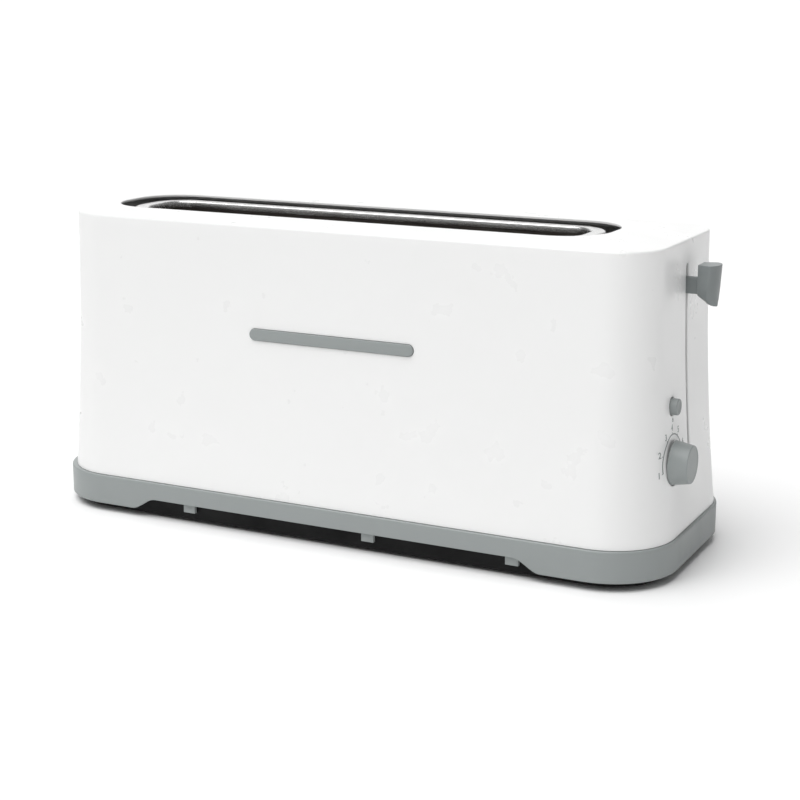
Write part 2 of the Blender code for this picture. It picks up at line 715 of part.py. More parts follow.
def make_end_plate(name, inner_face, outward):
    """A pressed plate across the chamber's end, with two ears towards +X that screw to the pan."""
    centre = inner_face + outward * PLATE_SHEET / 2
    half_height = (PLATE_TOP - STANDING_Z) / 2
    middle = STANDING_Z + half_height
    outline = rounded_rectangle(PLATE_HALF_WIDTH, half_height, PLATE_CORNER, 0.0, middle, steps=2)
    slot_low = RACK_TOP - SPINE_HEIGHT - LEVER_TRAVEL - RUNNING_GAP * 2
    slot_high = RACK_TOP + RUNNING_GAP * 2
    half_slot = SPINE_THICKNESS / 2 + 2 * RUNNING_GAP
    slot = rounded_rectangle(
        half_slot, (slot_high - slot_low) / 2, half_slot / 2, 0.0, (slot_high + slot_low) / 2, steps=1
    )
    holes = [circle(GUARD_WIRE_RADIUS + GAP, side * GUARD_Y, GUARD_PIVOT_Z, 10) for side in (-1, 1)]
    place = Matrix.Translation((centre, 0.0, 0.0)) @ ALONG_X
    plate = extruded(name, [outline, slot, *holes], PLATE_SHEET, place, ZINC_STEEL)
    ears = []
    for side in (-1, 1):
        y = side * (PLATE_HALF_WIDTH - EAR_INSET)
        low = (centre, y - EAR_WIDTH / 2, STANDING_Z + OVERLAP / 2)
        high = (inner_face + EAR_LENGTH, y + EAR_WIDTH / 2, STANDING_Z + PLATE_SHEET)
        ears.append((low, high))
    join(plate, boxes(name + "_ears", ears))
    screws = [(x, y) for x, y in screw_places() if abs(x - inner_face) < EAR_LENGTH]
    cut(plate, *[screw_hole(f"{name}_hole_{i}", x, y) for i, (x, y) in enumerate(screws, 1)])


def make_reflector(name, side):
    """A pressed channel behind the heater, its flanges turned away from the slot."""
    low, high = STANDING_Z + 0.010, PLATE_TOP - 0.002
    web, back = REFLECTOR_Y, REFLECTOR_Y + REFLECTOR_FLANGE
    sheet = REFLECTOR_SHEET
    outline = [(web, low), (back, low), (back, low + sheet), (web + sheet, low + sheet)]
    outline += [(web + sheet, high - sheet), (back, high - sheet), (back, high), (web, high)]
    outline = [(side * y, z) for y, z in outline]
    length = CHAMBER_END - CHAMBER_START - 2 * GAP
    place = Matrix.Translation((CHAMBER_MIDDLE, 0.0, 0.0)) @ ALONG_X
    extruded(name, [outline], length, place, BRIGHT_STEEL)


def make_heater(label, side):
    """A mica card held between the end plates, with its heating wire on the inner face."""
    start, end = CHAMBER_START + GAP, CHAMBER_END - GAP
    low, high = CARD_BOTTOM, PLATE_TOP - CARD_MARGIN
    edges = sorted((side * (CARD_Y - CARD_THICKNESS / 2), side * (CARD_Y + CARD_THICKNESS / 2)))
    box(f"{label}_heater_card", (start, edges[0], low), (end, edges[1], high), MICA)
    margin = 0.012
    y = side * (CARD_Y - CARD_THICKNESS / 2 - GAP - HEATER_WIRE_RADIUS)
    points = []
    for i in range(HEATER_PASSES):
        x = start + margin + (end - start - 2 * margin) * i / (HEATER_PASSES - 1)
        ends = (low + margin / 2, high - margin / 2)
        points += [(x, y, z) for z in (ends if i % 2 == 0 else reversed(ends))]
    wire(f"{label}_heating_wire", points, HEATER_WIRE_RADIUS, HEATER_ALLOY, resolution=0)


def make_bread_guard(name, side):
    """One wire bent to and fro, its two ends lying in the end plates as pivots."""
    y = side * GUARD_Y
    high = PLATE_TOP - 0.006
    first, last = CHAMBER_START + GUARD_END_MARGIN, CHAMBER_END - GUARD_END_MARGIN
    count = 2 * int((last - first) / GUARD_PITCH / 2) + 2
    points = [(CHAMBER_START - PLATE_SHEET - 0.0015, y, GUARD_PIVOT_Z)]
    for i in range(count):
        x = first + (last - first) * i / (count - 1)
        ends = (GUARD_PIVOT_Z, high)
        points += [(x, y, z) for z in (ends if i % 2 == 0 else reversed(ends))]
    points.append((CHAMBER_END + PLATE_SHEET + 0.0015, y, GUARD_PIVOT_Z))
    pivot_at(wire(name, points, GUARD_WIRE_RADIUS, ZINC_STEEL), (0.0, y, GUARD_PIVOT_Z))


def make_chamber():
    make_slot_frame()
    make_end_plate("left_end_plate", CHAMBER_START, -1)
    make_end_plate("right_end_plate", CHAMBER_END, 1)
    for label, side in (("front", -1), ("rear", 1)):
        make_reflector(f"{label}_reflector", side)
        make_heater(label, side)
        make_bread_guard(f"{label}_bread_guard", side)


def make_crumb_tray():
    """A shallow folded tray that slides out under the rear of the ring."""
    front = -PAN_SIDE + PAN_WALL + TRAY_FRONT_MARGIN
    back = PAN_SIDE - PAN_WALL
    work = bmesh.new()
    size = Vector((2 * TRAY_HALF_LENGTH, back - front, TRAY_DEPTH))
    middle = Vector((0.0, (front + back) / 2, TRAY_BOTTOM + TRAY_DEPTH / 2))
    matrix = Matrix.Translation(middle) @ Matrix.Diagonal((*size, 1.0))
    bmesh.ops.create_cube(work, size=1.0, matrix=matrix)
    lid = max(work.faces, key=lambda face: face.calc_center_median().z)
    bmesh.ops.delete(work, geom=[lid], context="FACES_ONLY")
    tray = add("crumb_tray", finish_mesh("crumb_tray", work, smooth=False), ZINC_STEEL)
    sheet = tray.modifiers.new("sheet", "SOLIDIFY")
    sheet.thickness = TRAY_SHEET
    sheet.offset = -1.0
    sheet.use_even_offset = True
    length, thickness = TRAY_HANDLE
    outside = PAN_SIDE + GAP
    grip_low = (-length / 2, back - TRAY_SHEET / 2, TRAY_BOTTOM + 2 * OVERLAP)
    grip = box("tray_grip", grip_low, (length / 2, outside + thickness, TRAY_TOP - 2 * OVERLAP))
    join(tray, grip)
    pivot_at(tray, (0.0, 0.0, TRAY_BOTTOM))


# Carriage and lever


def make_rack():
    """The bread rack: a spine on edge with short cross teeth along its top."""
    half = SPINE_THICKNESS / 2
    start = CHAMBER_START - PLATE_SHEET - 0.005
    low = RACK_TOP - SPINE_HEIGHT
    rack = box("bread_rack", (start, -half, low), (SLIDER_BACK - GAP, half, RACK_TOP), ZINC_STEEL)
    first, last = CHAMBER_START + GUARD_END_MARGIN, CHAMBER_END - GUARD_END_MARGIN
    count = int((last - first) / TOOTH_PITCH) + 1
    teeth = []
    for i in range(count):
        x = first + (last - first) * i / (count - 1)
        tooth_low = (x - TOOTH_WIDTH / 2, -TOOTH_LENGTH / 2, RACK_TOP - TOOTH_WIDTH)
        teeth.append((tooth_low, (x + TOOTH_WIDTH / 2, TOOTH_LENGTH / 2, RACK_TOP + 0.0004)))
    join(rack, boxes("rack_teeth", teeth))


def make_slider():
    """A folded plate with two lugs that run on the guide rod, and ears for the spring and catch."""
    half_x, half_y = SLIDER_LUG
    wide = SLIDER_PLATE_HALF_WIDTH
    sheet = SLIDER_SHEET
    slider = box(
        "carriage_slider",
        (SLIDER_BACK, -wide, SLIDER_BOTTOM),
        (SLIDER_BACK + sheet, wide, SLIDER_TOP),
        ZINC_STEEL,
    )
    inside = SLIDER_BACK + sheet / 2
    lugs = []
    for low in (SLIDER_BOTTOM + OVERLAP, SLIDER_TOP - SLIDER_LUG_HEIGHT - OVERLAP):
        corner = (SLIDER_FRONT, half_y, low + SLIDER_LUG_HEIGHT)
        lugs.append(((inside, -half_y, low), corner))
    ear_half = SPRING_RADIUS + 0.0015
    spring_ear = (
        (ROD_X - ear_half, SPRING_Y - ear_half, SLIDER_BOTTOM + 2 * OVERLAP),
        (ROD_X + ear_half, -half_y + PAST / 2, SLIDER_BOTTOM + 2 * OVERLAP + sheet),
    )
    catch_ear = (
        (inside, wide - PAST, CATCH_EAR_Z),
        (ROD_X + ear_half, CATCH_Y + COIL_RADIUS + 0.001, CATCH_EAR_Z + sheet),
    )
    join(slider, boxes("slider_lugs", lugs), boxes("slider_spring_ear", [spring_ear]))
    join(slider, boxes("slider_catch_ear", [catch_ear]))
    bore_low = (ROD_X, 0.0, SLIDER_BOTTOM - PAST)
    bore_high = (ROD_X, 0.0, SLIDER_TOP + PAST)
    cut(slider, cylinder("slider_bore", bore_low, bore_high, ROD_RADIUS + GAP))
    pivot_at(slider, (ROD_X, 0.0, SLIDER_BOTTOM))

    half = COIL_RADIUS - 0.0005
    catch_low = (ROD_X - half, CATCH_Y - half, CATCH_BOTTOM)
    box("catch_plate", catch_low, (ROD_X + half, CATCH_Y + half, CATCH_EAR_Z - GAP), BRIGHT_STEEL)


def paddle_outline(taper):
    """The paddle seen from above: flat inside, and rounded outside."""
    shoulder = PADDLE_X + PADDLE_DEPTH - PADDLE_ROUND - taper
    points = [(PADDLE_X, PADDLE_INNER_HALF_WIDTH), (PADDLE_X, -PADDLE_INNER_HALF_WIDTH)]
    for step in range(12):
        angle = math.pi * (step / 11 - 0.5)
        x = shoulder + PADDLE_ROUND * math.cos(angle)
        points.append((x, PADDLE_HALF_WIDTH * math.sin(angle)))
    return points


def make_lever():
    """The steel arm inside, and the moulded knob whose neck comes out through the slot."""
    half_arm, half_height = ARM_THICKNESS / 2, ARM_HEIGHT / 2
    arm_low = (SLIDER_FRONT + GAP, -half_arm, LEVER_Z - half_height)
    arm_high = (NECK_START - GAP, half_arm, LEVER_Z + half_height)
    box("lever_arm", arm_low, arm_high, ZINC_STEEL)

    sections = [
        (paddle_outline(PADDLE_TAPER), PADDLE_BOTTOM),
        (paddle_outline(0.0), PADDLE_TOP),
    ]
    knob = loft("lever_knob", sections, DARK_GREY)
    tongue = [(PADDLE_HALF_WIDTH + PAST / 2, PADDLE_TOP + PAST / 2)]
    tongue.append((-PADDLE_HALF_WIDTH - PAST / 2, PADDLE_TOP + PAST / 2))
    for step in range(13):
        angle = math.pi * (1 + step / 12)
        y = (PADDLE_HALF_WIDTH + PAST / 2) * math.cos(angle)
        z = PADDLE_BOTTOM + PADDLE_TONGUE * (1 + math.sin(angle))
        tongue.append((y, z))
    wide = Matrix.Translation((PADDLE_X, 0.0, 0.0)) @ ALONG_X
    combine(knob, "INTERSECT", extruded("paddle_tongue", [tongue], 4 * PADDLE_DEPTH, wide))
    slope = [
        (PADDLE_X - PAST, PADDLE_BOTTOM - 2 * PAST),
        (PADDLE_X + PADDLE_SLOPE[1], PADDLE_BOTTOM - 2 * PAST),
        (PADDLE_X + PADDLE_SLOPE[0], LEVER_Z - half_height + OVERLAP),
        (PADDLE_X - PAST, LEVER_Z - half_height + OVERLAP),
    ]
    cut(knob, extruded("paddle_slope", [slope], 4 * PADDLE_HALF_WIDTH, ALONG_Y))
    neck_low = (NECK_START, -half_arm, LEVER_Z - half_height)
    join(knob, box("lever_neck", neck_low, (PADDLE_X + 2 * PAST, half_arm, LEVER_Z + half_height)))
    pivot_at(knob, (PADDLE_X, 0.0, LEVER_Z))


def make_guides():
    """The guide rod, its upper bracket and the spring that lifts the carriage."""
    sheet = SLIDER_SHEET
    top = BRACKET_Z + sheet
    reach = ROD_X + SLIDER_LUG[0]
    face = CHAMBER_END + PLATE_SHEET + GAP
    outline = [(face, BRACKET_Z - 0.010), (face + sheet, BRACKET_Z - 0.010)]
    outline += [(face + sheet, BRACKET_Z), (reach, BRACKET_Z), (reach, top), (face, top)]
    width = 2 * (SPRING_RADIUS + 0.002 - SPRING_Y)
    extruded("rod_bracket", [outline], width, ALONG_Y, ZINC_STEEL)
    rod_low, rod_high = (ROD_X, 0.0, STANDING_Z), (ROD_X, 0.0, BRACKET_Z - GAP)
    cylinder("guide_rod", rod_low, rod_high, ROD_RADIUS, BRIGHT_STEEL)

    low = SLIDER_BOTTOM + 2 * OVERLAP + sheet + GAP + SPRING_WIRE_RADIUS
    high = BRACKET_Z - GAP - SPRING_WIRE_RADIUS
    per_turn = 8
    count = SPRING_TURNS * per_turn
    points = []
    for i in range(count + 1):
        angle = 2 * math.pi * i / per_turn
        x = ROD_X + SPRING_RADIUS * math.cos(angle)
        points.append((x, SPRING_Y + SPRING_RADIUS * math.sin(angle), low + (high - low) * i / count))
    wire("lift_spring", points, SPRING_WIRE_RADIUS, BRIGHT_STEEL, resolution=0)


def make_latch_magnet():
    """The electromagnet that holds the catch plate while the bread toasts."""
    half = COIL_RADIUS + 0.001
    foot = SLIDER_SHEET
    core = cylinder(
        "magnet_core",
        (ROD_X, CATCH_Y, STANDING_Z + foot / 2),
        (ROD_X, CATCH_Y, POLE_TOP),
        ROD_RADIUS,
        ZINC_STEEL,
    )
    low = (ROD_X - half, CATCH_Y - half, STANDING_Z)
    join(core, box("magnet_foot", low, (ROD_X + half, CATCH_Y + half, STANDING_Z + foot)))
    bottom, top = STANDING_Z + foot + GAP, POLE_TOP - 0.002
    bore = ROD_RADIUS + GAP
    profile = [(bore, top), (COIL_RADIUS, top), (COIL_RADIUS, bottom), (bore, bottom)]
    turned("magnet_coil", profile, (ROD_X, CATCH_Y, 0.0), COPPER, hollow=True)


# Controls and electrical pieces


def make_controls():
    wall = wall_x(BUTTON_Z)
    flange_radius, flange = BUTTON_FLANGE
    flange_start = wall - SHELL_WALL - BUTTON_BEHIND - flange
    stem_end = BOARD_FACE + GAP + SWITCH_DEPTH + RUNNING_GAP + BUTTON_TRAVEL
    face = wall + BUTTON_PROUD
    profile = [
        (0.0, face - 0.0004),
        (BUTTON_RADIUS * 0.6, face - 0.0002),
        (BUTTON_RADIUS - 0.0007, face),
        (BUTTON_RADIUS, face - 0.0007),
        (BUTTON_RADIUS, flange_start + flange),
        (flange_radius, flange_start + flange),
        (flange_radius, flange_start),
        (BUTTON_STEM_RADIUS, flange_start),
        (BUTTON_STEM_RADIUS, stem_end),
        (0.0, stem_end),
    ]
    turned("cancel_button", profile, (0.0, BUTTON_Y, BUTTON_Z), GREY, along_x=True)

    back = wall_x(KNOB_Z) + GAP
    face = back + KNOB_DEPTH
    shaft_end = BOARD_FACE + GAP + DIAL_DEPTH + GAP
    profile = [
        (0.0, face),
        (KNOB_FACE_RADIUS - 0.0008, face),
        (KNOB_FACE_RADIUS, face - 0.0008),
        (KNOB_RADIUS, back),
        (KNOB_SHAFT_RADIUS, back),
        (KNOB_SHAFT_RADIUS, shaft_end),
        (0.0, shaft_end),
    ]
    turned("browning_knob", profile, (0.0, KNOB_Y, KNOB_Z), GREY, along_x=True)


def make_electrics():
    top = BOARD_BOTTOM + BOARD_HEIGHT
    low, high = (BOARD_X, BOARD_FAR_Y, BOARD_BOTTOM), (BOARD_FACE, BOARD_NEAR_Y, top)
    box("control_board", low, high, BOARD_GREEN)

    post = 0.002
    back, shelf = BOARD_X - GAP - post, BOARD_FACE + 0.002
    outline = [(back, STANDING_Z), (shelf, STANDING_Z), (shelf, STANDING_Z + post)]
    outline += [(back + post, STANDING_Z + post), (back + post, BOARD_BOTTOM - GAP - post)]
    outline += [(shelf, BOARD_BOTTOM - GAP - post), (shelf, BOARD_BOTTOM - GAP)]
    outline += [(back + post, BOARD_BOTTOM - GAP), (back + post, BOARD_BOTTOM + 0.006)]
    outline += [(back, BOARD_BOTTOM + 0.006)]
    far, near = BOARD_FAR_Y + 0.004, BOARD_NEAR_Y - 0.014
    place = Matrix.Translation((0.0, (far + near) / 2, 0.0)) @ ALONG_Y
    extruded("board_bracket", [outline], near - far, place, BLACK)

    seat = BOARD_FACE + GAP
    half = 0.006
    switch_low = (seat, BUTTON_Y - half, BUTTON_Z - half)
    box("cancel_switch", switch_low, (seat + SWITCH_DEPTH, BUTTON_Y + half, BUTTON_Z + half), BLACK)
    half = 0.008
    dial_low = (seat, KNOB_Y - half, KNOB_Z - half)
    dial_high = (seat + DIAL_DEPTH, KNOB_Y + half, KNOB_Z + half)
    box("browning_potentiometer", dial_low, dial_high, ZINC_STEEL)
    y, z = BOARD_FAR_Y + 0.008, top - 0.012
    cylinder("capacitor", (seat, y, z), (seat + 0.009, y, z), 0.005, BLUE_SLEEVE)
    low = (seat, BOARD_FAR_Y + 0.003, BOARD_BOTTOM + 0.036)
    box("power_resistor", low, (seat + 0.005, BOARD_FAR_Y + 0.009, BOARD_BOTTOM + 0.058), CERAMIC)

    low = (ROD_X - 0.005, -0.046, STANDING_Z)
    box("mains_switch", low, (ROD_X + 0.007, -0.028, STANDING_Z + 0.014), BLACK)
    block_start, block_y = ROD_X + 0.015, 0.030
    low = (block_start, block_y, STANDING_Z)
    box("terminal_block", low, (block_start + 0.014, block_y + 0.018, STANDING_Z + 0.012), CERAMIC)
    make_link_lead(block_start + 0.004, block_y)


def make_link_lead(start_x, start_y):
    """The lead from the terminal block to the mains switch, lying along the pan."""
    radius = 0.0012
    height = STANDING_Z + radius + 0.003
    end_x, end_y = ROD_X + 0.007 + GAP, -0.036
    bend = 0.010
    stub = 0.002
    corners = [
        Vector((start_x, start_y - GAP - stub, height)),
        Vector((start_x, start_y - GAP - bend, height)),
        Vector((end_x + 2 * stub, end_y, height)),
        Vector((end_x + stub, end_y, height)),
    ]
    points = [Vector((start_x, start_y - GAP, height))]
    count = 14
    for i in range(count + 1):
        t = i / count
        weights = ((1 - t) ** 3, 3 * t * (1 - t) ** 2, 3 * t**2 * (1 - t), t**3)
        points.append(sum((w * c for w, c in zip(weights, corners)), Vector()))
    points.append(Vector((end_x, end_y, height)))
    wire("link_lead", points, radius, RUBBER, resolution=1)


make_housing()
make_base()
make_chamber()
make_crumb_tray()
make_rack()
make_slider()
make_lever()
make_guides()
make_latch_magnet()
make_controls()
make_electrics()
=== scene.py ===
"""The finished look of a long single-slot toaster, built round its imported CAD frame.

Units are metres in the frame's own axes: X runs towards the lever, -Y is the front and +Z is up.
"""

import math

import bmesh
import bpy
from mathutils import Matrix, Vector
from mathutils.bvhtree import BVHTree
from mathutils.interpolate import poly_3d_calc


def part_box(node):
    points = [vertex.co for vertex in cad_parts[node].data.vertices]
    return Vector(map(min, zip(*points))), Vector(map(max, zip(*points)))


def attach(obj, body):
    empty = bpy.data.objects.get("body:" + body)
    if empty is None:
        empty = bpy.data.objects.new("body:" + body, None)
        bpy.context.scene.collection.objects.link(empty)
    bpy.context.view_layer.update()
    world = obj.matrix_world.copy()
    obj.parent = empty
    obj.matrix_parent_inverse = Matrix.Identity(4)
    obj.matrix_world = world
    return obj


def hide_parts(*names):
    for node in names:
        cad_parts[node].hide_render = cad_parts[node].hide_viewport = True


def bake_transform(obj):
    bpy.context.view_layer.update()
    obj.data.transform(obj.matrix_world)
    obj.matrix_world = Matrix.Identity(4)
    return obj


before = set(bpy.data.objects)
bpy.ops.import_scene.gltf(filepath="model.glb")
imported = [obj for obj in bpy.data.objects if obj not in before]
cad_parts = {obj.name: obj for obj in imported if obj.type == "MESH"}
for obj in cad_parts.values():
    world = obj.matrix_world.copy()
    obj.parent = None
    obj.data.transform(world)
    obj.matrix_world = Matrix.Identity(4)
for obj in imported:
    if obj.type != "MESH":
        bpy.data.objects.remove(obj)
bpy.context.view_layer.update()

# Places read from the frame
RING_LOW, RING_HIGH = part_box("base_ring")
SHELL_LOW, SHELL_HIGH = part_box("outer_shell")
FRAME_LOW, FRAME_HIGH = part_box("slot_frame")
PAN_LOW, PAN_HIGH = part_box("base_pan")
PADDLE_LOW, PADDLE_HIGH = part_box("lever_knob")
BUTTON_LOW, BUTTON_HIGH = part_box("cancel_button")
KNOB_LOW, KNOB_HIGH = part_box("browning_knob")
ARM_LOW, ARM_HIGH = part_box("lever_arm")
TRAY_LOW, TRAY_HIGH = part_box("crumb_tray")
MIDDLE_X = (RING_LOW.x + RING_HIGH.x) / 2
SLOT_X = (FRAME_LOW.x + FRAME_HIGH.x) / 2
HALF_X = RING_HIGH.x - MIDDLE_X
HALF_Y = RING_HIGH.y
LEVER_Z = (ARM_LOW.z + ARM_HIGH.z) / 2
BUTTON_Y = (BUTTON_LOW.y + BUTTON_HIGH.y) / 2
BUTTON_Z = (BUTTON_LOW.z + BUTTON_HIGH.z) / 2
KNOB_Y = (KNOB_LOW.y + KNOB_HIGH.y) / 2
KNOB_Z = (KNOB_LOW.z + KNOB_HIGH.z) / 2

# Fits and fineness
GAP = 0.0003
RUNNING_GAP = 0.0006
PAST = 0.002  # how far a cutter goes past what it cuts
CORNER_STEPS = 14
ROUND_SIDES = 64

# Sizes of the housing
CROWN = 0.0020
FOOT_REVEAL = 0.0018
FLARE_END = 0.0095
FLARE_LEFT = 0.0075
FLARE_SIDE = 0.0088
SHOULDER_CORNER = 0.027
FOOT_CORNER = 0.038
SHOULDER_EDGE = 0.0013
SHELL_WALL = 0.0025
SHELL_LEVELS = 30
LIP_DEPTH = 0.0032
LIP_FACE = 0.0014  # upright part of the lip, above its slanted underside
LIP_EDGE = 0.0006
FRAME_FLANGE = 0.007
FRAME_SHEET = 0.0008
FRAME_LIP = 0.003
VENT_GAP = 0.007
SLOT_CORNER = 0.015
SLOT_STRETCH = 1.25  # how much faster the slot's outline grows along X than along Y
LEVER_SLOT_WIDTH = 0.0040
LEVER_SLOT_ABOVE = 0.0120
LEVER_TRAVEL = 0.088
LEVER_SLOT_BELOW = 0.004
MOUTH_EDGE = 0.0004
BASE_CORNER = 0.0407
RING_WALL = 0.0047
RING_EDGE = 0.0008
ARCH_RISE = 0.0075
ARCH_FLAT = 0.118
ARCH_RAMP = 0.018
CLIP_PLACES = (-0.0945, 0.0275, 0.1175)
CLIP_SIZE = (0.0080, 0.0025, 0.0055)
TRIM_LENGTH = 0.1065
TRIM_HEIGHT = 0.0068
TRIM_THICKNESS = 0.0022
TRIM_PROUD = 0.0011
TRIM_BELOW_SHOULDER = 0.0636
PAN_WALL = 0.0025
FOOT_HOLE = 0.0033
SCREW_HOLE = 0.0018
GLAND_HOLE = 0.0055
GLAND_SEAT = 0.0071
GLAND_SEAT_DEPTH = 0.0018
GLAND_REACH = (-0.012, 0.006)  # its cutters' ends, along Y from the gland's outer face
TRAY_SHEET = 0.0010

# Sizes of the controls
PADDLE_INNER = 0.0077  # paddle's inner face out from the shoulder
PADDLE_INNER_HALF = 0.0060
PADDLE_ROUND = 0.0050
PADDLE_LEAN = 0.0014
PADDLE_TONGUE = 0.012
PADDLE_SLOPE = 0.0080
PADDLE_LEVELS = 40
NECK_HALF = 0.0014
BUTTON_RADIUS = 0.0046
BUTTON_FLANGE_BACK = 0.003  # flange's inner face in from the inside of the wall
BUTTON_FLANGE = 0.0016
KNOB_FACE_RADIUS = 0.0107
KNOB_DEPTH = 0.0106
KNOB_SHAFT = 0.003
KNOB_HOLE = 0.0036
KNOB_RECESS = 0.0131
BUTTON_HOLE = 0.0052

# Worked out from the values above
SHOULDER_Z = SHELL_HIGH.z - CROWN
SHOULDER_X = HALF_X - FOOT_REVEAL - FLARE_END
SHOULDER_Y = HALF_Y - FOOT_REVEAL - FLARE_SIDE
PAN_INSET = RING_WALL + GAP
SLOT_HALF_LENGTH = FRAME_HIGH.x - SLOT_X - FRAME_FLANGE * SLOT_STRETCH
SLOT_HALF_WIDTH = FRAME_HIGH.y - FRAME_FLANGE
TRIM_Z = SHOULDER_Z - TRIM_BELOW_SHOULDER

ALONG_X = Matrix(((0, 0, 1, 0), (1, 0, 0, 0), (0, 1, 0, 0), (0, 0, 0, 1)))  # outline in Y and Z
ALONG_Y = Matrix.Rotation(math.pi / 2, 4, "X")  # outline in X and Z, facing the front


# Materials: every one varies over the surface in the piece's own coordinates


class Surface:
    """A Principled material whose nodes are added a step at a time."""

    def __init__(self, name, colour, roughness, metallic=0.0):
        self.made = bpy.data.materials.new(name)
        self.made.use_nodes = True
        self.nodes = self.made.node_tree.nodes
        self.links = self.made.node_tree.links
        self.shader = self.nodes["Principled BSDF"]
        self.colour = colour
        self.roughness = roughness
        self.shader.inputs["Metallic"].default_value = metallic
        self.shader.inputs["Roughness"].default_value = roughness
        self.shader.inputs["Base Color"].default_value = (*colour, 1.0)
        self.coordinates = self.nodes.new("ShaderNodeTexCoord").outputs["Object"]
        self.height = None

    def stretched(self, scale):
        mapping = self.nodes.new("ShaderNodeMapping")
        mapping.inputs["Scale"].default_value = scale
        self.links.new(self.coordinates, mapping.inputs["Vector"])
        return mapping.outputs["Vector"]

    def noise(self, scale, detail=4.0, stretch=(1, 1, 1)):
        texture = self.nodes.new("ShaderNodeTexNoise")
        texture.inputs["Scale"].default_value = scale
        texture.inputs["Detail"].default_value = detail
        self.links.new(self.stretched(stretch), texture.inputs["Vector"])
        return texture.outputs["Fac"]

    def cells(self, scale, stretch=(1, 1, 1)):
        texture = self.nodes.new("ShaderNodeTexVoronoi")
        texture.inputs["Scale"].default_value = scale
        self.links.new(self.stretched(stretch), texture.inputs["Vector"])
        return texture.outputs["Color"]

    def ranged(self, value, low, high):
        ramp = self.nodes.new("ShaderNodeMapRange")
        ramp.inputs["From Min"].default_value = 0.3
        ramp.inputs["From Max"].default_value = 0.7
        ramp.inputs["To Min"].default_value = low
        ramp.inputs["To Max"].default_value = high
        self.links.new(value, ramp.inputs["Value"])
        return ramp.outputs["Result"]

    def vary_colour(self, value, other, low=0.0, high=1.0):
        """Mixes the colour so far towards another one, as far as the value says."""
        mix = self.nodes.new("ShaderNodeMix")
        mix.data_type = "RGBA"
        self.links.new(self.ranged(value, low, high), mix.inputs["Factor"])
        before = self.shader.inputs["Base Color"]
        if before.is_linked:
            self.links.new(before.links[0].from_socket, mix.inputs["A"])
        else:
            mix.inputs["A"].default_value = (*self.colour, 1.0)
        mix.inputs["B"].default_value = (*other, 1.0)
        self.links.new(mix.outputs["Result"], before)
        return self

    def vary_roughness(self, value, spread):
        low, high = self.roughness - spread, self.roughness + spread
        self.links.new(self.ranged(value, low, high), self.shader.inputs["Roughness"])
        return self

    def bump(self, value, height, strength=1.0):
        """Height is in metres."""
        node = self.nodes.new("ShaderNodeBump")
        node.inputs["Distance"].default_value = height
        node.inputs["Strength"].default_value = strength
        self.links.new(value, node.inputs["Height"])
        normal = self.shader.inputs["Normal"]
        if normal.is_linked:
            self.links.new(normal.links[0].from_socket, node.inputs["Normal"])
        self.links.new(node.outputs["Normal"], normal)
        return self

    def coat(self, weight, roughness):
        self.shader.inputs["Coat Weight"].default_value = weight
        self.shader.inputs["Coat Roughness"].default_value = roughness
        return self


def darker(colour, share):
    return tuple(c * share for c in colour)


def moulded(name, colour, roughness, grain, wear):
    """Moulded plastic: faint flow marks, a fine grain, and scuffs that dull the gloss."""
    made = Surface(name, colour, roughness)
    made.vary_colour(made.noise(9.0, 3.0), darker(colour, 1 - wear))
    made.vary_colour(made.noise(160.0, 6.0), darker(colour, 1 - wear / 2), 0.0, 0.8)
    made.vary_roughness(made.noise(45.0, 8.0), roughness * 0.2)
    made.bump(made.noise(2600.0, 2.0), grain, 0.5)
    return made


def sheet_metal(name, colour, roughness, stretch, grain, stain):
    """Rolled or brushed sheet: long fine streaks, soft stains and a slightly uneven face."""
    made = Surface(name, colour, roughness, 1.0)
    streaks = made.noise(900.0, 3.0, stretch)
    made.vary_colour(made.noise(28.0, 5.0), darker(colour, 1 - stain))
    made.vary_colour(streaks, darker(colour, 1 - stain / 2), 0.0, 0.7)
    made.vary_roughness(streaks, roughness * 0.3)
    made.bump(streaks, grain, 0.6)
    return made


def plastic_surfaces():
    white = moulded("shell_white", (0.86, 0.862, 0.858), 0.32, 0.000004, 0.012)
    white.bump(white.noise(14.0, 2.0), 0.00004, 0.25).coat(0.15, 0.3)
    grey = moulded("ring_grey", (0.29, 0.313, 0.311), 0.42, 0.000010, 0.05)
    dark = moulded("lever_grey", (0.205, 0.225, 0.226), 0.36, 0.000010, 0.06)
    black = moulded("pan_black", (0.004, 0.004, 0.0045), 0.6, 0.00002, 0.25)
    black.shader.inputs["Specular IOR Level"].default_value = 0.2
    return {"gloss_white": white, "satin_grey": grey, "dark_grey": dark, "black_plastic": black}


def metal_surfaces():
    bright = sheet_metal("frame_steel", (0.70, 0.70, 0.695), 0.24, (0.03, 1, 1), 0.000003, 0.10)
    zinc = sheet_metal("zinc_plate", (0.52, 0.53, 0.54), 0.42, (0.06, 1, 1), 0.000004, 0.12)
    zinc.vary_colour(zinc.cells(170.0), (0.42, 0.43, 0.45), 0.0, 0.6)

    tinted = sheet_metal("tinted_steel", (0.16, 0.15, 0.135), 0.38, (0.03, 1, 1), 0.000003, 0.25)
    tinted.vary_colour(tinted.noise(40.0, 6.0), (0.10, 0.085, 0.08), 0.0, 0.7)

    alloy = sheet_metal("heater_ribbon", (0.33, 0.31, 0.29), 0.40, (1, 1, 0.1), 0.000003, 0.2)
    alloy.vary_colour(alloy.noise(70.0), (0.20, 0.17, 0.19), 0.0, 0.7)

    copper = Surface("enamelled_copper", (0.62, 0.27, 0.13), 0.30, 1.0)
    copper.vary_colour(copper.noise(300.0, 3.0, (1, 1, 6)), (0.36, 0.12, 0.05), 0.0, 0.8)
    copper.vary_roughness(copper.noise(160.0), 0.08)
    copper.bump(copper.noise(500.0, 1.0, (0.05, 0.05, 5)), 0.00012)
    return {
        "bright_steel": bright,
        "zinc_steel": zinc,
        "tinted_steel": tinted,
        "heater_alloy": alloy,
        "copper": copper,
    }


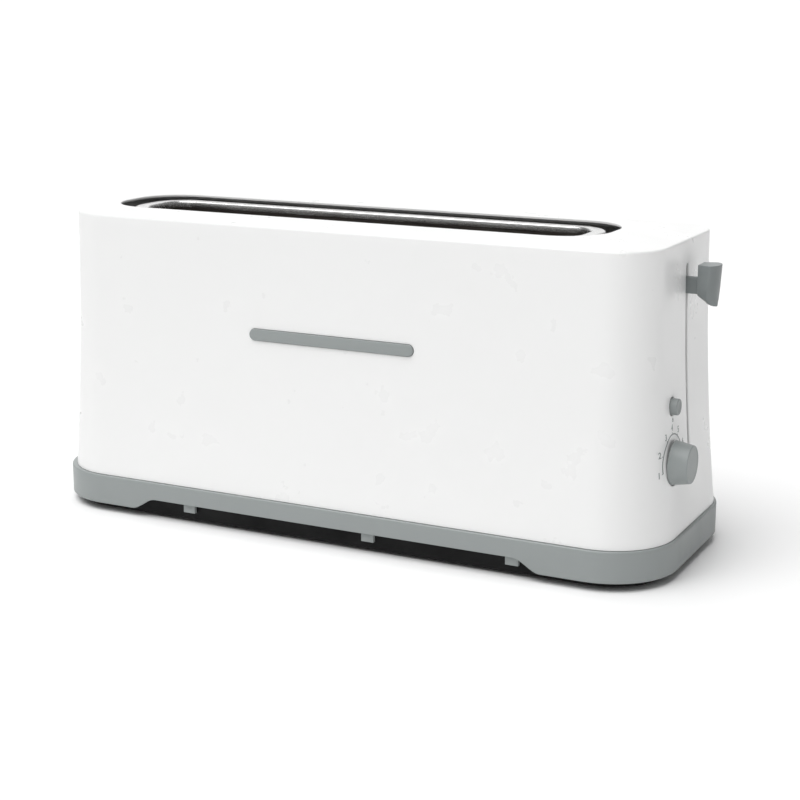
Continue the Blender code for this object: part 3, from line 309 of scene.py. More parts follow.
def other_surfaces():
    mica = Surface("mica_sheet", (0.60, 0.52, 0.38), 0.42)
    mica.vary_colour(mica.cells(260.0), (0.72, 0.66, 0.52), 0.0, 0.7)
    mica.vary_colour(mica.noise(60.0, 6.0), (0.40, 0.31, 0.20), 0.0, 0.5)
    mica.vary_roughness(mica.cells(260.0), 0.14).bump(mica.noise(420.0, 5.0), 0.00005)

    board = Surface("board_green", (0.035, 0.10, 0.035), 0.38)
    board.vary_colour(board.cells(210.0), (0.07, 0.17, 0.05), 0.0, 0.8)
    board.vary_roughness(board.noise(120.0), 0.1).bump(board.cells(210.0), 0.00003)

    ceramic = Surface("glazed_ceramic", (0.78, 0.76, 0.70), 0.55)
    ceramic.vary_colour(ceramic.noise(220.0, 8.0), (0.62, 0.59, 0.52), 0.0, 0.6)
    ceramic.vary_roughness(ceramic.noise(90.0), 0.12).bump(ceramic.noise(900.0), 0.00004)

    sleeve = Surface("blue_sleeve", (0.03, 0.07, 0.24), 0.35)
    sleeve.vary_colour(sleeve.noise(240.0, 5.0), (0.02, 0.04, 0.15), 0.0, 0.8)
    sleeve.vary_roughness(sleeve.noise(80.0), 0.08).bump(sleeve.noise(700.0), 0.00002)

    rubber = Surface("foot_rubber", (0.028, 0.028, 0.029), 0.82)
    rubber.vary_colour(rubber.noise(130.0, 8.0), (0.055, 0.053, 0.05), 0.0, 0.8)
    rubber.vary_roughness(rubber.noise(60.0), 0.10).bump(rubber.noise(1800.0), 0.00004)

    return {
        "mica": mica,
        "board_laminate": board,
        "ceramic": ceramic,
        "blue_sleeve": sleeve,
        "rubber": rubber,
    }


def make_finishes():
    made = {**plastic_surfaces(), **metal_surfaces(), **other_surfaces()}
    return {slot: surface.made for slot, surface in made.items()}


FINISHES = make_finishes()


# Shape helpers: each makes a mesh


def smooth_mesh(name, work, angle=32.0):
    bmesh.ops.recalc_face_normals(work, faces=work.faces)
    mesh = bpy.data.meshes.new(name)
    work.to_mesh(mesh)
    work.free()
    mesh.shade_smooth()
    mesh.set_sharp_from_angle(angle=math.radians(angle))
    return mesh


def rounded_rectangle(half_x, half_y, radius, centre_x=0.0, centre_y=0.0, steps=CORNER_STEPS):
    """Points round a rounded rectangle, always starting at the same corner."""
    points = []
    for quarter, (sign_x, sign_y) in enumerate(((1, 1), (-1, 1), (-1, -1), (1, -1))):
        for step in range(steps + 1):
            angle = math.pi / 2 * (quarter + step / steps)
            x = centre_x + sign_x * (half_x - radius) + radius * math.cos(angle)
            y = centre_y + sign_y * (half_y - radius) + radius * math.sin(angle)
            points.append((x, y))
    return points


def circle(radius, centre_x=0.0, centre_y=0.0, sides=ROUND_SIDES):
    angles = [2 * math.pi * step / sides for step in range(sides)]
    return [(centre_x + radius * math.cos(a), centre_y + radius * math.sin(a)) for a in angles]


def mixed(first, second, share):
    return [tuple(a + (b - a) * share for a, b in zip(p, q)) for p, q in zip(first, second)]


def skin(name, rows, ring=False, angle=32.0):
    """A closed skin through rows of points. A ring joins its last row to its first."""
    work = bmesh.new()
    rows = [[work.verts.new(point) for point in row] for row in rows]
    pairs = list(zip(rows, rows[1:]))
    if ring:
        pairs.append((rows[-1], rows[0]))
    else:
        work.faces.new(rows[0])
        work.faces.new(rows[-1])
    for lower, upper in pairs:
        for i in range(len(lower)):
            j = (i + 1) % len(lower)
            work.faces.new((lower[i], lower[j], upper[j], upper[i]))
    return smooth_mesh(name, work, angle)


def loft(name, sections, ring=False):
    return skin(name, [[(x, y, z) for x, y in points] for points, z in sections], ring)


def turned(name, profile, place, sides=ROUND_SIDES, hollow=False):
    """A profile of (radius, height) points turned about Z, then put in place."""
    work = bmesh.new()
    rows = []
    for radius, height in profile:
        if radius == 0.0:
            rows.append([work.verts.new((0.0, 0.0, height))])
        else:
            rows.append([work.verts.new((x, y, height)) for x, y in circle(radius, sides=sides)])
    pairs = list(zip(rows, rows[1:]))
    if hollow:
        pairs.append((rows[-1], rows[0]))
    for lower, upper in pairs:
        for i in range(sides):
            j = (i + 1) % sides
            corners = [lower[i % len(lower)], lower[j % len(lower)]]
            corners += [upper[j % len(upper)], upper[i % len(upper)]]
            work.faces.new(dict.fromkeys(corners))
    mesh = smooth_mesh(name, work)
    mesh.transform(place)
    return mesh


def plug(name, radius, low, high, place, sides=ROUND_SIDES):
    """A cylinder for cutting a round hole."""
    return turned(name, [(0.0, low), (radius, low), (radius, high), (0.0, high)], place, sides)


def above(node):
    """The middle of a node, put down on the floor."""
    low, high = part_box(node)
    return Matrix.Translation(((low.x + high.x) / 2, (low.y + high.y) / 2, 0.0))


def facing_rear(x, y, z):
    return Matrix.Translation((x, y, z)) @ Matrix.Rotation(-math.pi / 2, 4, "X")


def of_object(piece):
    """The finished mesh of a scratch object, which is then removed."""
    bpy.context.view_layer.update()
    graph = bpy.context.evaluated_depsgraph_get()
    mesh = bpy.data.meshes.new_from_object(piece.evaluated_get(graph))
    bpy.data.objects.remove(piece, do_unlink=True)
    return mesh


def linked(data, name="scratch"):
    """A new object in the scene, holding the data."""
    made = bpy.data.objects.new(name, data)
    bpy.context.scene.collection.objects.link(made)
    return made


def welded(mesh, angle=32.0):
    work = bmesh.new()
    work.from_mesh(mesh)
    bmesh.ops.remove_doubles(work, verts=work.verts, dist=0.000001)
    return smooth_mesh(mesh.name, work, angle)


def extruded(name, outlines, thickness, place, edge=0.0):
    """A flat outline, with any holes in it, given a thickness and a rounded edge."""
    curve = bpy.data.curves.new(name, "CURVE")
    curve.dimensions = "2D"
    curve.fill_mode = "BOTH"
    curve.extrude = thickness / 2 - edge
    curve.bevel_depth = edge
    curve.bevel_resolution = 2
    curve.offset = -edge
    for points in outlines:
        spline = curve.splines.new("POLY")
        spline.points.add(len(points) - 1)
        for point, (x, y) in zip(spline.points, points):
            point.co = (x, y, 0.0, 1.0)
        spline.use_cyclic_u = True
    mesh = welded(of_object(linked(curve)))
    mesh.transform(place)
    return mesh


def tube(name, points, radius, resolution=3):
    """A round wire through the points, with caps."""
    curve = bpy.data.curves.new(name, "CURVE")
    curve.dimensions = "3D"
    curve.bevel_depth = radius
    curve.bevel_resolution = resolution
    curve.use_fill_caps = True
    spline = curve.splines.new("POLY")
    spline.points.add(len(points) - 1)
    for point, place in zip(spline.points, points):
        point.co = (*place, 1.0)
    return welded(of_object(linked(curve)), 60.0)


def block(name, low, high, edge=0.0003):
    """A box with its edges rounded."""
    work = bmesh.new()
    low, high = Vector(low), Vector(high)
    size = Matrix.Diagonal((*(high - low), 1.0))
    bmesh.ops.create_cube(work, size=1.0, matrix=Matrix.Translation((low + high) / 2) @ size)
    bmesh.ops.bevel(work, geom=work.edges, offset=edge, segments=2, profile=0.5, affect="EDGES")
    return smooth_mesh(name, work)


def merged(name, meshes):
    """Several meshes as one. They may touch, and each stays closed."""
    work = bmesh.new()
    for mesh in meshes:
        work.from_mesh(mesh)
    return smooth_mesh(name, work)


def with_normals_of(mesh, smooth):
    """Takes the smooth mesh's normals wherever the mesh still lies on it, and is flat elsewhere."""
    points = [vertex.co for vertex in smooth.vertices]
    tree = BVHTree.FromPolygons(points, [tuple(face.vertices) for face in smooth.polygons])
    corners = [normal.vector.copy() for normal in smooth.corner_normals]
    normals = [None] * len(mesh.loops)
    for face in mesh.polygons:
        for i in face.loop_indices:
            spot = mesh.vertices[mesh.loops[i].vertex_index].co
            probe = spot.lerp(face.center, 0.02)
            _, facing, index, away = tree.find_nearest(probe)
            normals[i] = face.normal
            if away < 0.00003 and facing.dot(face.normal) > 0.97:
                source = smooth.polygons[index]
                weights = poly_3d_calc([points[v] for v in source.vertices], spot)
                parts = [corners[j] * w for j, w in zip(source.loop_indices, weights)]
                normals[i] = sum(parts, Vector()).normalized()
    mesh.normals_split_custom_set(normals)
    return mesh


def carved(mesh, cutters, operation="DIFFERENCE"):
    """The mesh with the cutters taken away or added, smooth where it was smooth before."""
    body = linked(mesh)
    tools = [linked(cutter) for cutter in cutters]
    for tool in tools:
        modifier = body.modifiers.new("cut", "BOOLEAN")
        modifier.operation = operation
        modifier.object = tool
        modifier.solver = "EXACT"
    result = of_object(body)
    for tool in tools:
        bpy.data.objects.remove(tool, do_unlink=True)
    result.name = mesh.name
    return with_normals_of(result, mesh)


def painted(mesh, finish):
    mesh.materials.clear()
    mesh.materials.append(finish)
    return linked(mesh, mesh.name)


def piece(mesh, slot, body="housing", stands_for=(), finish=None):
    """Adds the mesh to the scene as one piece of the toaster."""
    made = painted(mesh, finish or FINISHES[slot])
    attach(made, body)
    if stands_for:
        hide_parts(*stands_for)
    return made


# Outline of the housing at any height


def flare(height):
    """Share of the outward flare: none at the shoulder, all of it at the ring."""
    share = (SHOULDER_Z - height) / (SHOULDER_Z - RING_HIGH.z)
    return 0.05 * share + 0.95 * share**2


def wall_x(height):
    return SHOULDER_X + FLARE_END * flare(height)


def wall_y(height):
    return SHOULDER_Y + FLARE_SIDE * flare(height)


def wall_corner(height):
    return SHOULDER_CORNER + (FOOT_CORNER - SHOULDER_CORNER) * flare(height)


def end_wall(y, height):
    """How far out the end wall lies, its rounded corners included."""
    corner = wall_corner(height)
    past = max(0.0, abs(y) - (wall_y(height) - corner))
    return MIDDLE_X + wall_x(height) - corner + math.sqrt(corner**2 - past**2)


def body_outline(height, inset=0.0):
    right, left = wall_x(height), SHOULDER_X + FLARE_LEFT * flare(height)
    half_x, half_y = (right + left) / 2 - inset, wall_y(height) - inset
    corner = wall_corner(height) - inset
    return rounded_rectangle(half_x, half_y, corner, MIDDLE_X + (right - left) / 2)


def base_outline(inset=0.0):
    return rounded_rectangle(HALF_X - inset, HALF_Y - inset, BASE_CORNER - inset, MIDDLE_X)


def slot_outline(outset):
    half_x, half_y = SLOT_HALF_LENGTH + outset * SLOT_STRETCH, SLOT_HALF_WIDTH + outset
    return rounded_rectangle(half_x, half_y, SLOT_CORNER + outset, SLOT_X)


# Housing


def shell_sections():
    bottom = SHELL_LOW.z
    top = SHOULDER_Z - SHOULDER_EDGE
    levels = [bottom + (top - bottom) * i / (SHELL_LEVELS - 1) for i in range(SHELL_LEVELS)]
    sections = [(body_outline(z), z) for z in levels]
    for step in range(1, 7):
        angle = math.pi / 2 * step / 6
        inset = SHOULDER_EDGE * (1 - math.cos(angle))
        sections.append((body_outline(top, inset), top + SHOULDER_EDGE * math.sin(angle)))
    opening = FRAME_FLANGE + VENT_GAP
    rim = slot_outline(opening + LIP_EDGE)
    for step in range(1, 11):
        points = mixed(body_outline(top, SHOULDER_EDGE), rim, step / 10)
        sections.append((points, SHOULDER_Z + CROWN * math.sin(step / 10 * math.pi / 2)))
    for step in range(1, 5):
        angle = math.pi / 2 * step / 4
        outset = opening + LIP_EDGE * (1 - math.sin(angle))
        drop = LIP_EDGE * (1 - math.cos(angle))
        sections.append((slot_outline(outset), SHELL_HIGH.z - drop))
    lip_back = slot_outline(opening + SHELL_WALL)
    sections.append((slot_outline(opening), SHELL_HIGH.z - LIP_FACE))
    sections.append((lip_back, SHELL_HIGH.z - LIP_DEPTH))
    sections.append((lip_back, SHELL_HIGH.z - SHELL_WALL))
    inner = [SHOULDER_Z - SHELL_WALL, *reversed(levels[:-1:4])]
    sections += [(body_outline(z, SHELL_WALL), z) for z in inner]
    return sections


def wall_cutter(name, outline_at):
    """A cutter that goes through the end wall, its mouth eased where it meets the surface."""
    depths = ((-4 * SHELL_WALL, 0.0), (-MOUTH_EDGE, 0.0), (0.0, MOUTH_EDGE), (0.002, 0.0024))
    rows = []
    for depth, outset in depths:
        rows.append([(end_wall(y, z) + depth, y, z) for y, z in outline_at(outset)])
    return skin(name, rows)


def lever_slot_outline(outset):
    top = LEVER_Z + LEVER_SLOT_ABOVE
    bottom = ARM_LOW.z - LEVER_TRAVEL - LEVER_SLOT_BELOW
    half = LEVER_SLOT_WIDTH / 2 + outset
    middle, half_height = (top + bottom) / 2, (top - bottom) / 2 + outset
    corners = rounded_rectangle(half, half_height, half * 0.98, 0.0, middle, steps=8)
    rises = 24
    points = []
    for i, (y, z) in enumerate(corners):
        points.append((y, z))
        after = corners[(i + 1) % len(corners)]
        if abs(after[1] - z) > half_height:
            points += [(y, z + (after[1] - z) * k / rises) for k in range(1, rises)]
    return points


def trim_place(depth):
    """Puts an outline on the front wall, leaning with it, its middle this far out."""
    step = 0.001
    lean = math.atan((wall_y(TRIM_Z - step) - wall_y(TRIM_Z + step)) / (2 * step))
    wall = Matrix.Translation((MIDDLE_X, -wall_y(TRIM_Z), TRIM_Z))
    return wall @ Matrix.Rotation(math.pi / 2 - lean, 4, "X") @ Matrix.Translation((0, 0, depth))


def trim_outline(outset=0.0):
    half = TRIM_HEIGHT / 2 + outset
    return rounded_rectangle(TRIM_LENGTH / 2 + outset, half, half * 0.999)


def make_shell():
    shell = loft("shell", shell_sections(), ring=True)
    pocket = TRIM_THICKNESS - TRIM_PROUD + GAP
    place = Matrix.Translation((end_wall(KNOB_Y, KNOB_Z), KNOB_Y, KNOB_Z)) @ ALONG_X
    cutters = [
        wall_cutter("lever_mouth", lever_slot_outline),
        wall_cutter("button_mouth", lambda o: circle(BUTTON_HOLE + o, BUTTON_Y, BUTTON_Z)),
        wall_cutter("knob_mouth", lambda o: circle(KNOB_HOLE + o, KNOB_Y, KNOB_Z)),
        plug("knob_seat", KNOB_RECESS, 0.0, 0.02, place),
        extruded("trim_pocket", [trim_outline(GAP)], 2 * pocket, trim_place(0.0)),
    ]
    piece(carved(shell, cutters), "gloss_white", stands_for=["outer_shell"])
    middle = TRIM_PROUD - TRIM_THICKNESS / 2
    bar = extruded("trim_strip", [trim_outline()], TRIM_THICKNESS, trim_place(middle), 0.0004)
    piece(bar, "satin_grey", stands_for=["trim_bar"])


def arch_outline(grow=0.0):
    """The arch under the ring: a flat middle with an S-shaped ramp at each end."""
    bottom = RING_LOW.z
    ramp = []
    for step in range(19):
        share = step / 18
        rise = ARCH_RISE * (1 + math.cos(math.pi * share)) / 2
        ramp.append((ARCH_FLAT + ARCH_RAMP * share + grow, bottom + rise + grow))
    ramp.append((ramp[-1][0], bottom - 0.002))
    points = ramp + [(-x, z) for x, z in reversed(ramp)]
    return [(MIDDLE_X + x, z) for x, z in points]


def rounded_band(outline_at, low, high, edge, wall):
    """Sections of an upright band, its outer edges rounded, going up outside and down inside."""
    quarter = [math.pi / 2 * step / 5 for step in range(6)]
    sections = [(outline_at(edge * (1 - math.sin(a))), low + edge * (1 - math.cos(a))) for a in quarter]
    sections += [(outline_at(edge * (1 - math.cos(a))), high - edge * (1 - math.sin(a))) for a in quarter]
    return sections + [(outline_at(wall), high), (outline_at(wall), low)]


def gland_middle():
    """The middle of the gland's outer face."""
    low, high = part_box("cord_gland")
    return (low.x + high.x) / 2, high.y, (low.z + high.z) / 2


def make_ring():
    low, high = RING_LOW.z, RING_HIGH.z
    ring = loft("ring", rounded_band(base_outline, low, high, RING_EDGE, RING_WALL), ring=True)
    arch = extruded("arch", [arch_outline()], 2 * HALF_Y + 0.01, ALONG_Y)
    x, y, z = gland_middle()
    place = facing_rear(x, y - GLAND_SEAT_DEPTH, z)
    seat = plug("gland_seat", GLAND_SEAT, 0.0, GLAND_REACH[1], place)
    bore = plug("gland_bore", GLAND_HOLE, *GLAND_REACH, facing_rear(x, y, z))
    ring = carved(ring, [arch, seat, bore])
    piece(ring, "satin_grey", stands_for=["base_ring"])
    length, depth, drop = CLIP_SIZE
    inner = HALF_Y - RING_WALL
    under = low + ARCH_RISE
    clips = []
    for x in CLIP_PLACES:
        middle = MIDDLE_X + x
        low_corner = (middle - length / 2, -inner - depth, under - drop)
        clips.append(block("clip", low_corner, (middle + length / 2, -inner, under + 0.0005)))
    piece(merged("ring_clips", clips), "satin_grey")


def pan_cutters():
    """The tray's mouth, the vents, and the holes for the feet, screws and gland."""
    side = HALF_Y - PAN_INSET
    mouth_low = (TRAY_LOW.x - RUNNING_GAP, side - PAN_WALL - PAST, PAN_LOW.z + PAN_WALL + 0.00001)
    mouth_high = (TRAY_HIGH.x + RUNNING_GAP, side + PAST, TRAY_HIGH.z + RUNNING_GAP)
    cutters = [block("tray_mouth", mouth_low, mouth_high, 0.0004)]
    vent_length, vent_half, pitch = 0.034, 0.0015, 0.008
    x = (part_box("right_end_plate")[0].x + MIDDLE_X + SHOULDER_X) / 2
    for i in range(-2, 3):
        outline = rounded_rectangle(vent_length / 2, vent_half, vent_half * 0.99, x, i * pitch, 4)
        cutters.append(extruded("vent", [outline], 0.012, Matrix.Translation((0, 0, PAN_LOW.z))))
    for i in range(1, 5):
        cutters.append(plug("foot_hole", FOOT_HOLE, 0.0, 0.02, above(f"foot_{i}"), 24))
        cutters.append(plug("screw_hole", SCREW_HOLE, 0.0, 0.02, above(f"base_screw_{i}"), 24))
    cutters.append(plug("pan_bore", GLAND_HOLE, *GLAND_REACH, facing_rear(*gland_middle()), 32))
    return cutters


def make_pan():
    floor, top = PAN_LOW.z, PAN_HIGH.z
    sections = []
    for step in range(5):
        angle = math.pi / 2 * step / 4
        out = RING_EDGE * (1 - math.sin(angle))
        sections.append((base_outline(PAN_INSET + out), floor + RING_EDGE * (1 - math.cos(angle))))
    sections += [(base_outline(PAN_INSET), top), (base_outline(PAN_INSET + PAN_WALL), top)]
    sections.append((base_outline(PAN_INSET + PAN_WALL), floor + PAN_WALL))
    pan = carved(loft("pan", sections), pan_cutters())
    piece(pan, "black_plastic", stands_for=["base_pan"])
    make_pan_ribs(floor)


def make_pan_ribs(floor):
    """Low moulded ribs across the underside of the pan, with a long one over each row of ends."""
    pitch, half_width, reach = 0.019, 0.0006, 0.052
    under, over = floor - 0.0008, floor + 0.0004
    end = 5 * pitch + half_width
    ribs = []
    for i in range(-5, 6):
        x = MIDDLE_X + i * pitch
        ribs.append(block("rib", (x - half_width, -reach, under), (x + half_width, reach, over)))
    for y in (-reach, reach):
        low = (MIDDLE_X - end, y - half_width, under)
        ribs.append(block("rib", low, (MIDDLE_X + end, y + half_width, over)))
    piece(merged("pan_ribs", ribs), "black_plastic")


def make_feet():
    for i in range(1, 5):
        low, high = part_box(f"foot_{i}")
        radius, top = (high.x - low.x) / 2, PAN_LOW.z - GAP
        groove, stem = 0.0004, 0.003
        profile = [(0.0, groove), (radius * 0.30, groove), (radius * 0.34, 0.0), (radius * 0.50, 0.0)]
        profile += [(radius * 0.54, groove), (radius * 0.64, groove), (radius * 0.68, 0.0)]
        profile += [(radius - 0.0007, 0.0), (radius - 0.0002, 0.0003), (radius, 0.0008)]
        profile += [(radius, top - 0.0003), (radius - 0.0003, top), (stem, top)]
        profile += [(stem, high.z), (0.0, high.z)]
        piece(turned(f"rubber_foot_{i}", profile, above(f"foot_{i}")), "rubber", stands_for=[f"foot_{i}"])


def make_screws():
    """Pan-head screws with a cross recess."""
    for i in range(1, 5):
        low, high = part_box(f"base_screw_{i}")
        radius, head = (high.x - low.x) / 2, 0.0014
        top = low.z + head
        profile = [(0.0, low.z)]
        for step in range(1, 7):
            angle = math.pi / 2 * step / 6
            profile.append((radius * math.sin(angle), low.z + head * 0.85 * (1 - math.cos(angle))))
        shank, root, tip, thread = 0.0015, 0.0012, 0.0009, 12
        profile += [(radius, top), (shank, top)]
        for turn in range(thread):
            z = top + (high.z - 0.0006 - top) * (turn + 0.5) / thread
            profile += [(shank, z), (root, z + 0.0002)]
        profile += [(tip, high.z), (0.0, high.z)]
        place = above(f"base_screw_{i}")
        screw = turned(f"screw_{i}", profile, place, 32)
        x, y = place.translation.x, place.translation.y
        long, wide = radius * 0.55, 0.00032
        recess = [
            block("recess", (x - a, y - b, low.z - 0.001), (x + a, y + b, low.z + depth), 0.0001)
            for a, b, depth in ((long, wide, 0.0009), (wide, long, 0.0008))
        ]
        piece(carved(screw, recess), "zinc_steel", stands_for=[f"base_screw_{i}"])


def make_gland():
    low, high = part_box("cord_gland")
    depth = high.y - low.y
    radius, inner, flange = (high.x - low.x) / 2, 0.0052, 0.0015
    bore = 0.0036
    profile = [(bore + 0.0006, 0.0), (radius - 0.0006, 0.0), (radius - 0.0002, -0.0002), (radius, -0.0006)]
    profile += [(radius, -flange), (inner, -flange), (inner, -depth), (bore, -depth)]
    profile += [(bore, -0.0006), (bore + 0.0002, -0.0002)]
    place = facing_rear(*gland_middle())
    piece(turned("gland", profile, place, 48, True), "black_plastic", stands_for=["cord_gland"])


def make_slot_rim():
    """The pressed rim: a rounded outer lip and a bright flange, above a heat-tinted skirt."""
    top, bottom = FRAME_HIGH.z, FRAME_LOW.z
    sheet, flange = FRAME_SHEET, FRAME_FLANGE
    bend = 0.0014
    seam = top - 0.0040
    steps = [math.pi / 2 * step / 6 for step in range(7)]
    sections = [(slot_outline(0.0), seam)]
    sections += [(slot_outline(bend * (1 - math.cos(a))), top - bend * (1 - math.sin(a))) for a in steps]
    sections += [
        (slot_outline(flange - bend * (1 - math.sin(a))), top - bend * (1 - math.cos(a))) for a in steps
    ]
    under = bend - sheet
    sections.append((slot_outline(flange), top - FRAME_LIP))
    sections.append((slot_outline(flange - sheet), top - FRAME_LIP))
    sections += [
        (slot_outline(flange - sheet - under * (1 - math.cos(a))), top - sheet - under * (1 - math.sin(a)))
        for a in steps
    ]
    sections += [
        (slot_outline(sheet + under * (1 - math.sin(a))), top - sheet - under * (1 - math.cos(a)))
        for a in steps
    ]
    sections.append((slot_outline(sheet), seam))
    piece(loft("slot_rim", sections, ring=True), "bright_steel", stands_for=["slot_frame"])
    seam -= 0.0001
    skirt = [(slot_outline(0.0), bottom), (slot_outline(0.0), seam)]
    skirt += [(slot_outline(sheet), seam), (slot_outline(sheet), bottom)]
    piece(loft("slot_skirt", skirt, ring=True), "bright_steel", finish=FINISHES["tinted_steel"])


def make_heat_baffle():
    """A dark ring under the open gap, put there as painted shade: it keeps light out of the walls so the
    gap looks dark.
    """
    inner = slot_outline(FRAME_SHEET + GAP)
    outer = slot_outline(FRAME_FLANGE + VENT_GAP + 0.004)
    high = FRAME_HIGH.z - 0.0075
    low = high - 0.0006
    sections = [(inner, low), (inner, high), (outer, high), (outer, low)]
    piece(loft("shade_baffle", sections, ring=True), "black_plastic")


# Toasting chamber


def make_heaters():
    """Notched mica cards with a flat ribbon wound round them."""
    for label in ("front", "rear"):
        low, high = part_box(f"{label}_heater_card")
        wire_low, wire_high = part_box(f"{label}_heating_wire")
        turns = 30
        first, last = wire_low.x + 0.001, wire_high.x - 0.001
        pitch = (last - first) / (turns - 1)
        notch, deep = 0.0011, 0.003
        outline = [(low.x, low.z)]
        outline += notches(low.z, deep, [first + pitch * i for i in range(turns)], notch)
        outline += [(high.x, low.z), (high.x, high.z)]
        backwards = [first + pitch * (i + 0.5) for i in reversed(range(turns - 1))]
        outline += notches(high.z, -deep, backwards, -notch)
        outline.append((low.x, high.z))
        middle = (low.y + high.y) / 2
        place = Matrix.Translation((0, middle, 0)) @ ALONG_Y
        card = extruded(f"{label}_mica_card", [outline], high.y - low.y, place)
        piece(card, "mica", stands_for=[f"{label}_heater_card"])
        ribbon = ribbon_mesh(f"{label}_heater_ribbon", low, high, first, pitch, turns, deep)
        piece(ribbon, "heater_alloy", stands_for=[f"{label}_heating_wire"])


def notches(edge, deep, places, half):
    points = []
    for x in places:
        points += [(x - half, edge), (x - half, edge + deep), (x + half, edge + deep), (x + half, edge)]
    return points


def ribbon_mesh(name, low, high, first, pitch, turns, deep):
    """A flat ribbon that goes up one face of the card, over its edge and down the other."""
    half, thick = 0.0008, 0.00015
    offset = 0.00025
    front, back = low.y - offset, high.y + offset
    path = []
    for i in range(turns):
        x = first + pitch * i
        path += [(x, back, low.z + deep), (x, front, low.z + deep)]
        if i < turns - 1:
            path += [(x + pitch / 2, front, high.z - deep), (x + pitch / 2, back, high.z - deep)]
    curve_points = [Vector(p) for p in path]
    work = bmesh.new()
    rows = []
    for i, here in enumerate(curve_points):
        before = curve_points[max(i - 1, 0)]
        after = curve_points[min(i + 1, len(curve_points) - 1)]
        run = after - before
        out = Vector((0.0, -1.0 if here.y < (low.y + high.y) / 2 else 1.0, 0.0))
        along = Vector((run.x, 0.0, run.z))
        side = along.cross(Vector((0, 1, 0))).normalized() if along.length > 1e-6 else Vector((1, 0, 0))
        if side.x < 0:
            side = -side
        corners = [here - side * half, here + side * half]
        corners += [here + side * half + out * thick, here - side * half + out * thick]
        rows.append([work.verts.new(c) for c in corners])
    work.faces.new(rows[0])
    work.faces.new(rows[-1])
    for lower, upper in zip(rows, rows[1:]):
        for k in range(4):
            j = (k + 1) % 4
            work.faces.new((lower[k], lower[j], upper[j], upper[k]))
    return smooth_mesh(name, work, 40.0)


def rounded_path(corners, radius, steps=6):
    """The corners as a path whose bends are rounded."""
    corners = [Vector(c) for c in corners]
    path = [corners[0]]
    for before, here, after in zip(corners, corners[1:], corners[2:]):
        start = here + (before - here).normalized() * min(radius, (before - here).length / 2)
        end = here + (after - here).normalized() * min(radius, (after - here).length / 2)
        for step in range(steps + 1):
            t = step / steps
            path.append(start * (1 - t) ** 2 + here * 2 * t * (1 - t) + end * t**2)
    path.append(corners[-1])
    return path


def make_bread_guards():
    """One long wire bent to and fro, with rounded bends."""
    for label in ("front", "rear"):
        low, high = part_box(f"{label}_bread_guard")
        radius = 0.0010
        y = (low.y + high.y) / 2
        bottom, top = low.z + radius, high.z - radius
        margin = 0.012
        first, last = low.x + 0.0027 + margin, high.x - 0.0027 - margin
        count = 2 * int((last - first) / 0.018 / 2) + 2
        corners = [(low.x, y, bottom)]
        for i in range(count):
            x = first + (last - first) * i / (count - 1)
            ends = (bottom, top)
            corners += [(x, y, z) for z in (ends if i % 2 == 0 else reversed(ends))]
        corners.append((high.x, y, bottom))
        wire = tube(f"{label}_guard_wire", rounded_path(corners, 0.004), radius)
        piece(wire, "zinc_steel", f"{label}_guard", [f"{label}_bread_guard"])


def make_spring():
    """The lift spring: a fixed coil between its bracket and the carriage."""
    low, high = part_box("lift_spring")
    thin = 0.0005
    x, y = (low.x + high.x) / 2, (low.y + high.y) / 2
    radius = (high.x - low.x) / 2 - thin
    turns, per_turn = 22, 20
    bottom, top = low.z + thin, high.z - thin
    points = []
    for i in range(turns * per_turn + 1):
        angle = 2 * math.pi * i / per_turn
        height = bottom + (top - bottom) * i / (turns * per_turn)
        points.append((x + radius * math.cos(angle), y + radius * math.sin(angle), height))
    made = painted(tube("extension_spring", points, thin, 2), FINISHES["bright_steel"])
    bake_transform(made)
    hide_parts("lift_spring")


# Controls


def paddle_section(inner, outer, half, narrowed):
    """One level of the paddle: flat inside, widening, and rounded outside."""
    shoulder = outer - PADDLE_ROUND
    if inner < shoulder:
        reach, edge = math.pi / 2, PADDLE_INNER_HALF
    else:
        reach = math.acos(min(0.98, (inner - shoulder) / PADDLE_ROUND))
        edge = half * math.sin(reach) * 0.98
    points = [(inner, edge * narrowed), (inner, -edge * narrowed)]
    for step in range(41):
        angle = reach * (step / 20 - 1)
        x, y = shoulder + PADDLE_ROUND * math.cos(angle), half * math.sin(angle) * narrowed
        points.append((max(x, inner + 0.00002), y))
    return points


def make_lever_knob():
    """A half-round paddle with a tongue-shaped lower end, on a neck that goes into the slot."""
    inner = MIDDLE_X + SHOULDER_X + PADDLE_INNER
    half, top, bottom = PADDLE_HIGH.y, PADDLE_HIGH.z, PADDLE_LOW.z
    slope_top = ARM_LOW.z
    sections = []
    for level in range(PADDLE_LEVELS + 1):
        z = bottom + 0.0001 + (top - bottom - 0.0001) * level / PADDLE_LEVELS
        outer = PADDLE_HIGH.x - PADDLE_LEAN * (top - z) / (top - bottom)
        start = inner + PADDLE_SLOPE * max(0.0, (slope_top - z) / (slope_top - bottom))
        drop = max(0.0, 1 - (z - bottom) / PADDLE_TONGUE)
        sections.append((paddle_section(start, outer, half, math.sqrt(1 - drop**2)), z))
    neck_low = (PADDLE_LOW.x, -NECK_HALF, ARM_LOW.z)
    neck = block("neck", neck_low, (inner + 0.003, NECK_HALF, ARM_HIGH.z), 0.0002)
    knob = linked(merged("lever_paddle", [loft("paddle", sections), neck]))
    remesh = knob.modifiers.new("remesh", "REMESH")
    remesh.mode = "VOXEL"
    remesh.voxel_size = 0.00025
    remesh.use_smooth_shade = True
    soften = knob.modifiers.new("soften", "SMOOTH")
    soften.factor = 0.5
    soften.iterations = 8
    mesh = of_object(knob)
    mesh.name = "lever_paddle"
    mesh.shade_smooth()
    piece(mesh, "dark_grey", "carriage", ["lever_knob"])


